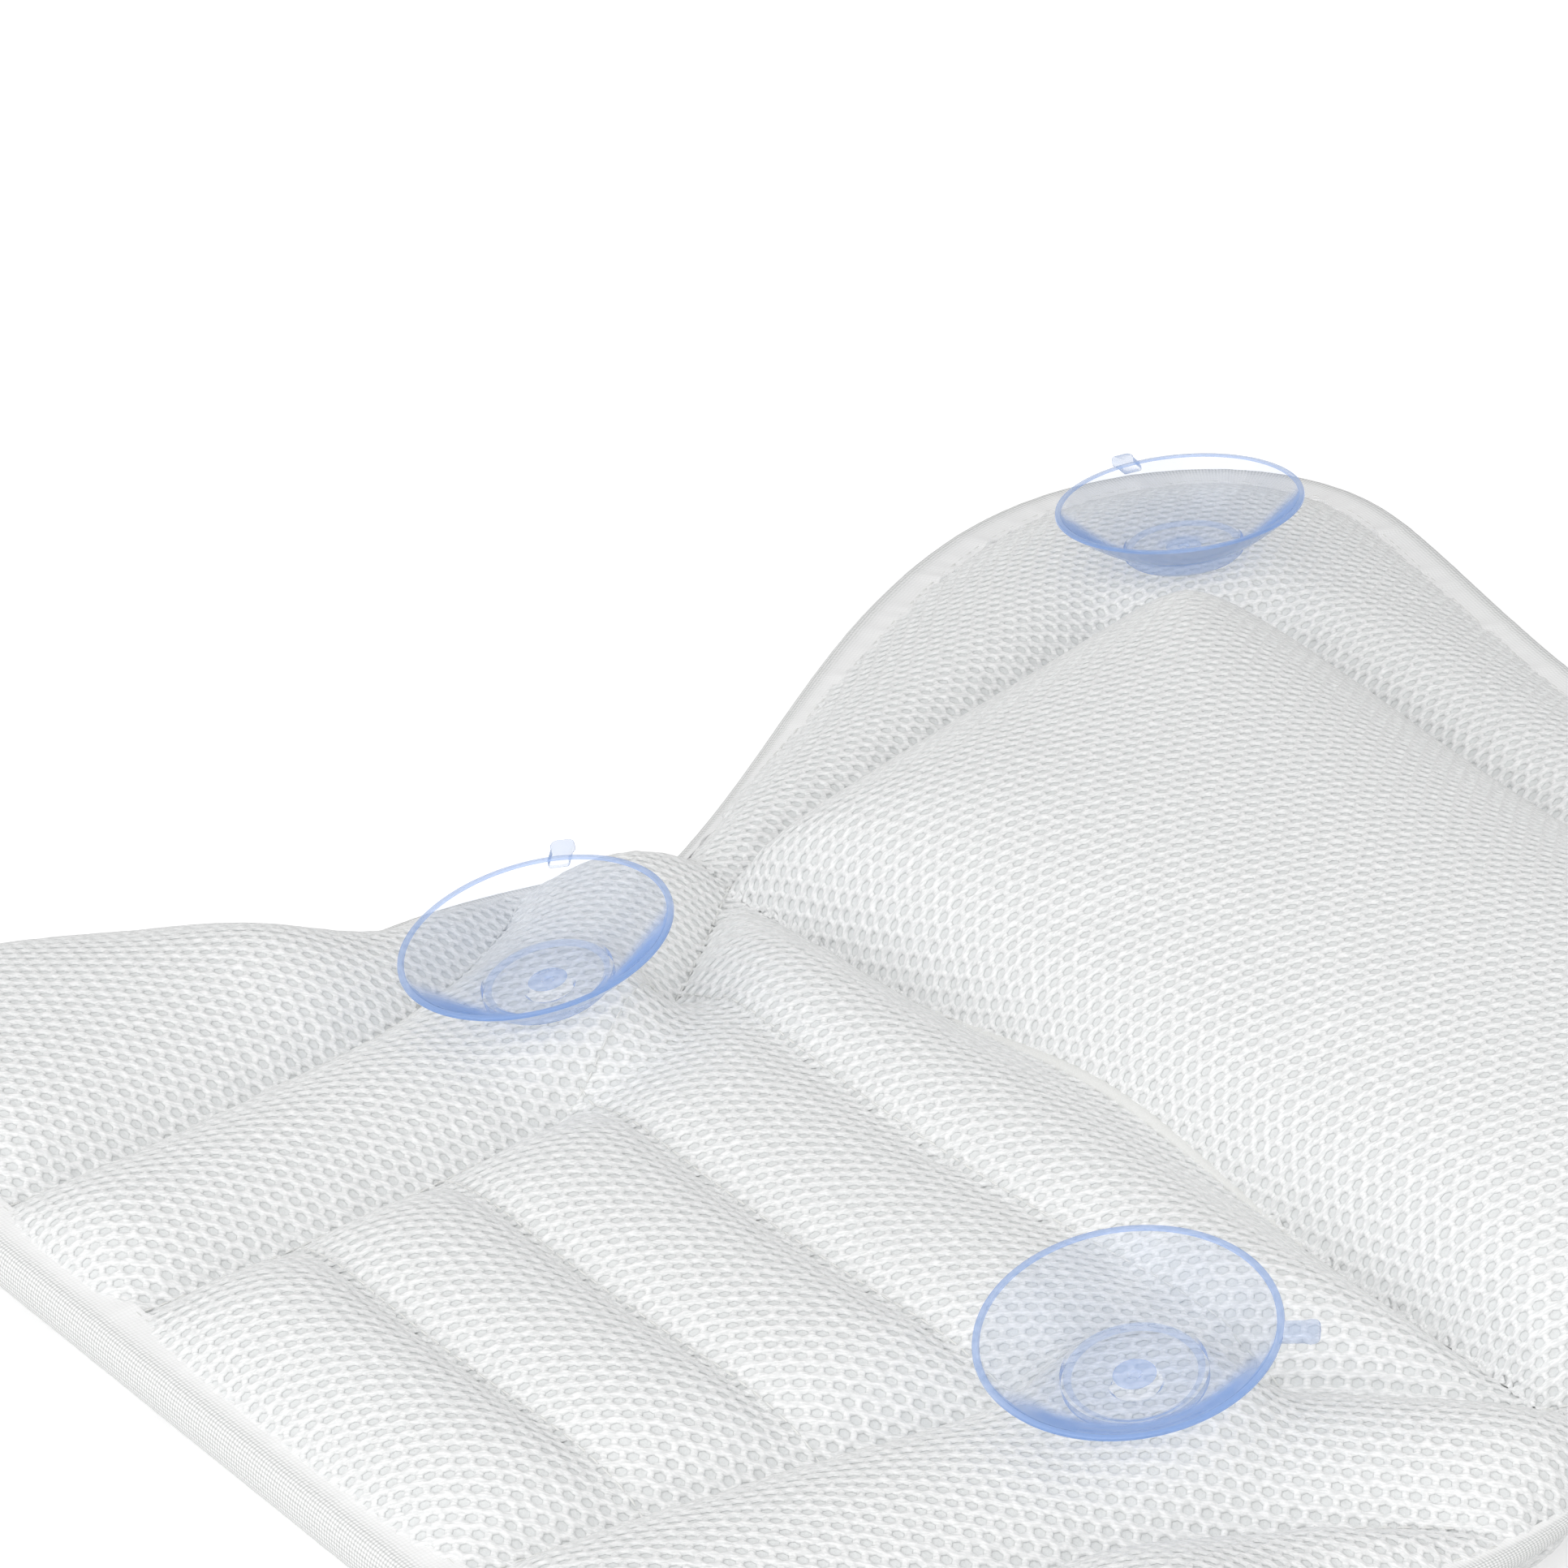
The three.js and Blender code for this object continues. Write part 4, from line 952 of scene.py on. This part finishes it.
def tabBody():
    c = cupSizes
    start = c["rimRadius"] - c["lip"] - 0.1
    end = c["rimRadius"] + c["tabReach"]
    side = [(start, c["tabShares"][0][1])] + [(end - back, share) for back, share in c["tabShares"]]
    loop = [(x, -share) for x, share in side] + side[::-1]
    tab = bmesh.new()
    foot = c["height"] - c["tabDrop"] - c["tabThickness"]
    face = tab.faces.new([tab.verts.new((x, share * c["tabWidth"] / 2, foot)) for x, share in loop])
    lifted = bmesh.ops.extrude_face_region(tab, geom=[face])["geom"]
    bmesh.ops.translate(tab, vec=(0, 0, c["tabThickness"]),
                        verts=[v for v in lifted if isinstance(v, bmesh.types.BMVert)])
    return toMesh(tab, "cup_tab")


def cupMesh():
    body = newPiece("cup_body", cupBody())
    tab = newPiece("cup_tab", tabBody())
    bevel = tab.modifiers.new("round", "BEVEL")
    bevel.width = cupSizes["tabRound"]
    bevel.segments = 3
    join = body.modifiers.new("join", "BOOLEAN")
    join.operation = "UNION"
    join.solver = "EXACT"
    join.object = tab
    mesh = bakedMesh(body)
    for piece in (body, tab):
        bpy.data.objects.remove(piece)
    return mesh


# How much of the light each face of a cup holds back, from 0 to 1, by the thick part that it belongs to
def cupBulk(mesh):
    c = cupSizes
    middles = np.array([polygon.center for polygon in mesh.polygons])
    radius = np.hypot(middles[:, 0], middles[:, 1])
    z = middles[:, 2]
    onFloor = (z > 0.5) & (z < c["baseHeight"])
    parts = ((radius > c["rimRadius"] + 0.2, "tabBulk"), (z > c["height"] - 0.6, "rimBulk"),
             ((radius > c["baseRadius"] - 0.3) & (z < c["baseHeight"] + 0.1), "baseBulk"),
             (onFloor & (radius < c["studRadius"] - 0.4), "studBulk"),
             (onFloor & (radius > c["floorRadius"] - 0.4), "ringBulk"))
    return np.select([part for part, name in parts], [c[name] for part, name in parts], 0.0)


def makeCups():
    shape = cupMesh()
    setValues(shape, "bulk", cupBulk(shape), "FACE")
    cups = {}
    for name, (centre, axis) in zip(cupNames, cupSeats):
        place, _, side = name.split("_")
        turn = cupSizes["tabTurns"][place] if side == "right" else 180 - cupSizes["tabTurns"][place]
        lean = Vector((0, 0, 1)).rotation_difference(Vector(axis)).to_matrix().to_4x4()
        spin = Matrix.Rotation(math.radians(turn), 4, "Z")
        mesh = shape.copy()
        mesh.transform(Matrix.Translation(Vector(toMetres(centre))) @ lean @ spin @ Matrix.Scale(0.001, 4))
        mesh.materials.clear()
        mesh.shade_smooth()
        mesh.set_sharp_from_angle(angle=math.radians(cupSizes["sharpAngle"]))
        cups[name] = newPiece(f"{place}_cup_{side}_vinyl", mesh, vinylMaterial)
    print("cups ready, each with", len(shape.polygons), "faces")
    return cups


cups = makeCups()
for name in cupNames:
    node = frame["nodes"][name.replace("_cup_", "_cup_washer_")]
    node.data.materials.clear()
    node.data.materials.append(washerMaterial)

# Pieces baked in place, stitch rows and cups riding on their bodies, and the imported parts that each stands
# for hidden
fillings = ["head_pad_filling", "head_border_filling"]
fillings += [f"shoulder_channel_filling_{i}" for i in range(1, 6)]
fillings += [f"shoulder_{zone}_filling_{side}" for zone in ("band", "wing") for side in ("left", "right")]


def acrossFold(piece):
    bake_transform(piece)


acrossFold(cushion)
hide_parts(*fillings)
for (panel, face), net in nets.items():
    acrossFold(net)
    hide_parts(f"{panel}_{face}_mesh")
for panel, tape in tapes.items():
    acrossFold(tape)
    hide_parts(f"{panel}_binding")
acrossFold(foldCord)
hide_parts("fold_seam")
for name, row in stitches.items():
    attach(row, name.split("_")[0] + "_panel")
for name, cup in cups.items():
    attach(cup, name)
    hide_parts(name)
print("pieces ride on their bodies")

# Stage: a pale floor, an even white surround, two large soft lamps and a small one; place, width and watts
stageSizes = {"floorHalf": 6.0, "surround": 0.3, "floorGlow": 0.5, "lamps": {
    "key lamp": ((1.1, -0.7, 0.75), 2.0, 13.0), "fill lamp": ((-0.25, -0.95, 0.95), 2.0, 12.8),
    "head lamp": ((0.3, 0.4, 0.55), 0.5, 0.9)}}


def seenRays(add):   # 1 for the rays that show the background, seen straight, mirrored or through the cups
    path = add("ShaderNodeLightPath").outputs
    seen = path["Is Camera Ray"]
    for ray in ("Is Glossy Ray", "Is Transmission Ray"):
        seen = add("ShaderNodeMath", {0: seen, 1: path[ray]}, operation="MAXIMUM")
    return seen


def makeStage():
    half = stageSizes["floorHalf"]
    corners = [(-half, -half, 0), (half, -half, 0), (half, half, 0), (-half, half, 0)]
    mesh = bpy.data.meshes.new("floor")
    mesh.from_pydata(corners, [], [(0, 1, 2, 3)])
    white = (1.0, 1.0, 1.0, 1.0)
    material, add, shader = newMaterial("matt white floor")
    glow = add("ShaderNodeMath", {0: seenRays(add), 1: stageSizes["floorGlow"]}, operation="MULTIPLY")
    feed(shader, {"Base Color": toLinear("#F4F4F4"), "Roughness": 1.0, "Specular IOR Level": 0.0,
                  "Emission Color": white, "Emission Strength": glow})
    newPiece("floor", mesh, material)
    world = bpy.data.worlds.new("studio")
    world.use_nodes = True
    scene.world = world
    add = partial(addNode, world.node_tree)
    level = add("ShaderNodeMapRange",
                {"Value": seenRays(add), "To Min": stageSizes["surround"], "To Max": 1.0})
    feed(world.node_tree.nodes["Background"], {"Color": white, "Strength": level})
    for name, (place, width, watts) in stageSizes["lamps"].items():
        lamp = bpy.data.lights.new(name, "AREA")
        lamp.size = width
        lamp.energy = watts
        holder = newPiece(name, lamp)
        holder.location = place
        holder.visible_camera = False
        holder.rotation_euler = (-Vector(place)).to_track_quat("-Z", "Y").to_euler()


makeStage()
print("stage ready")
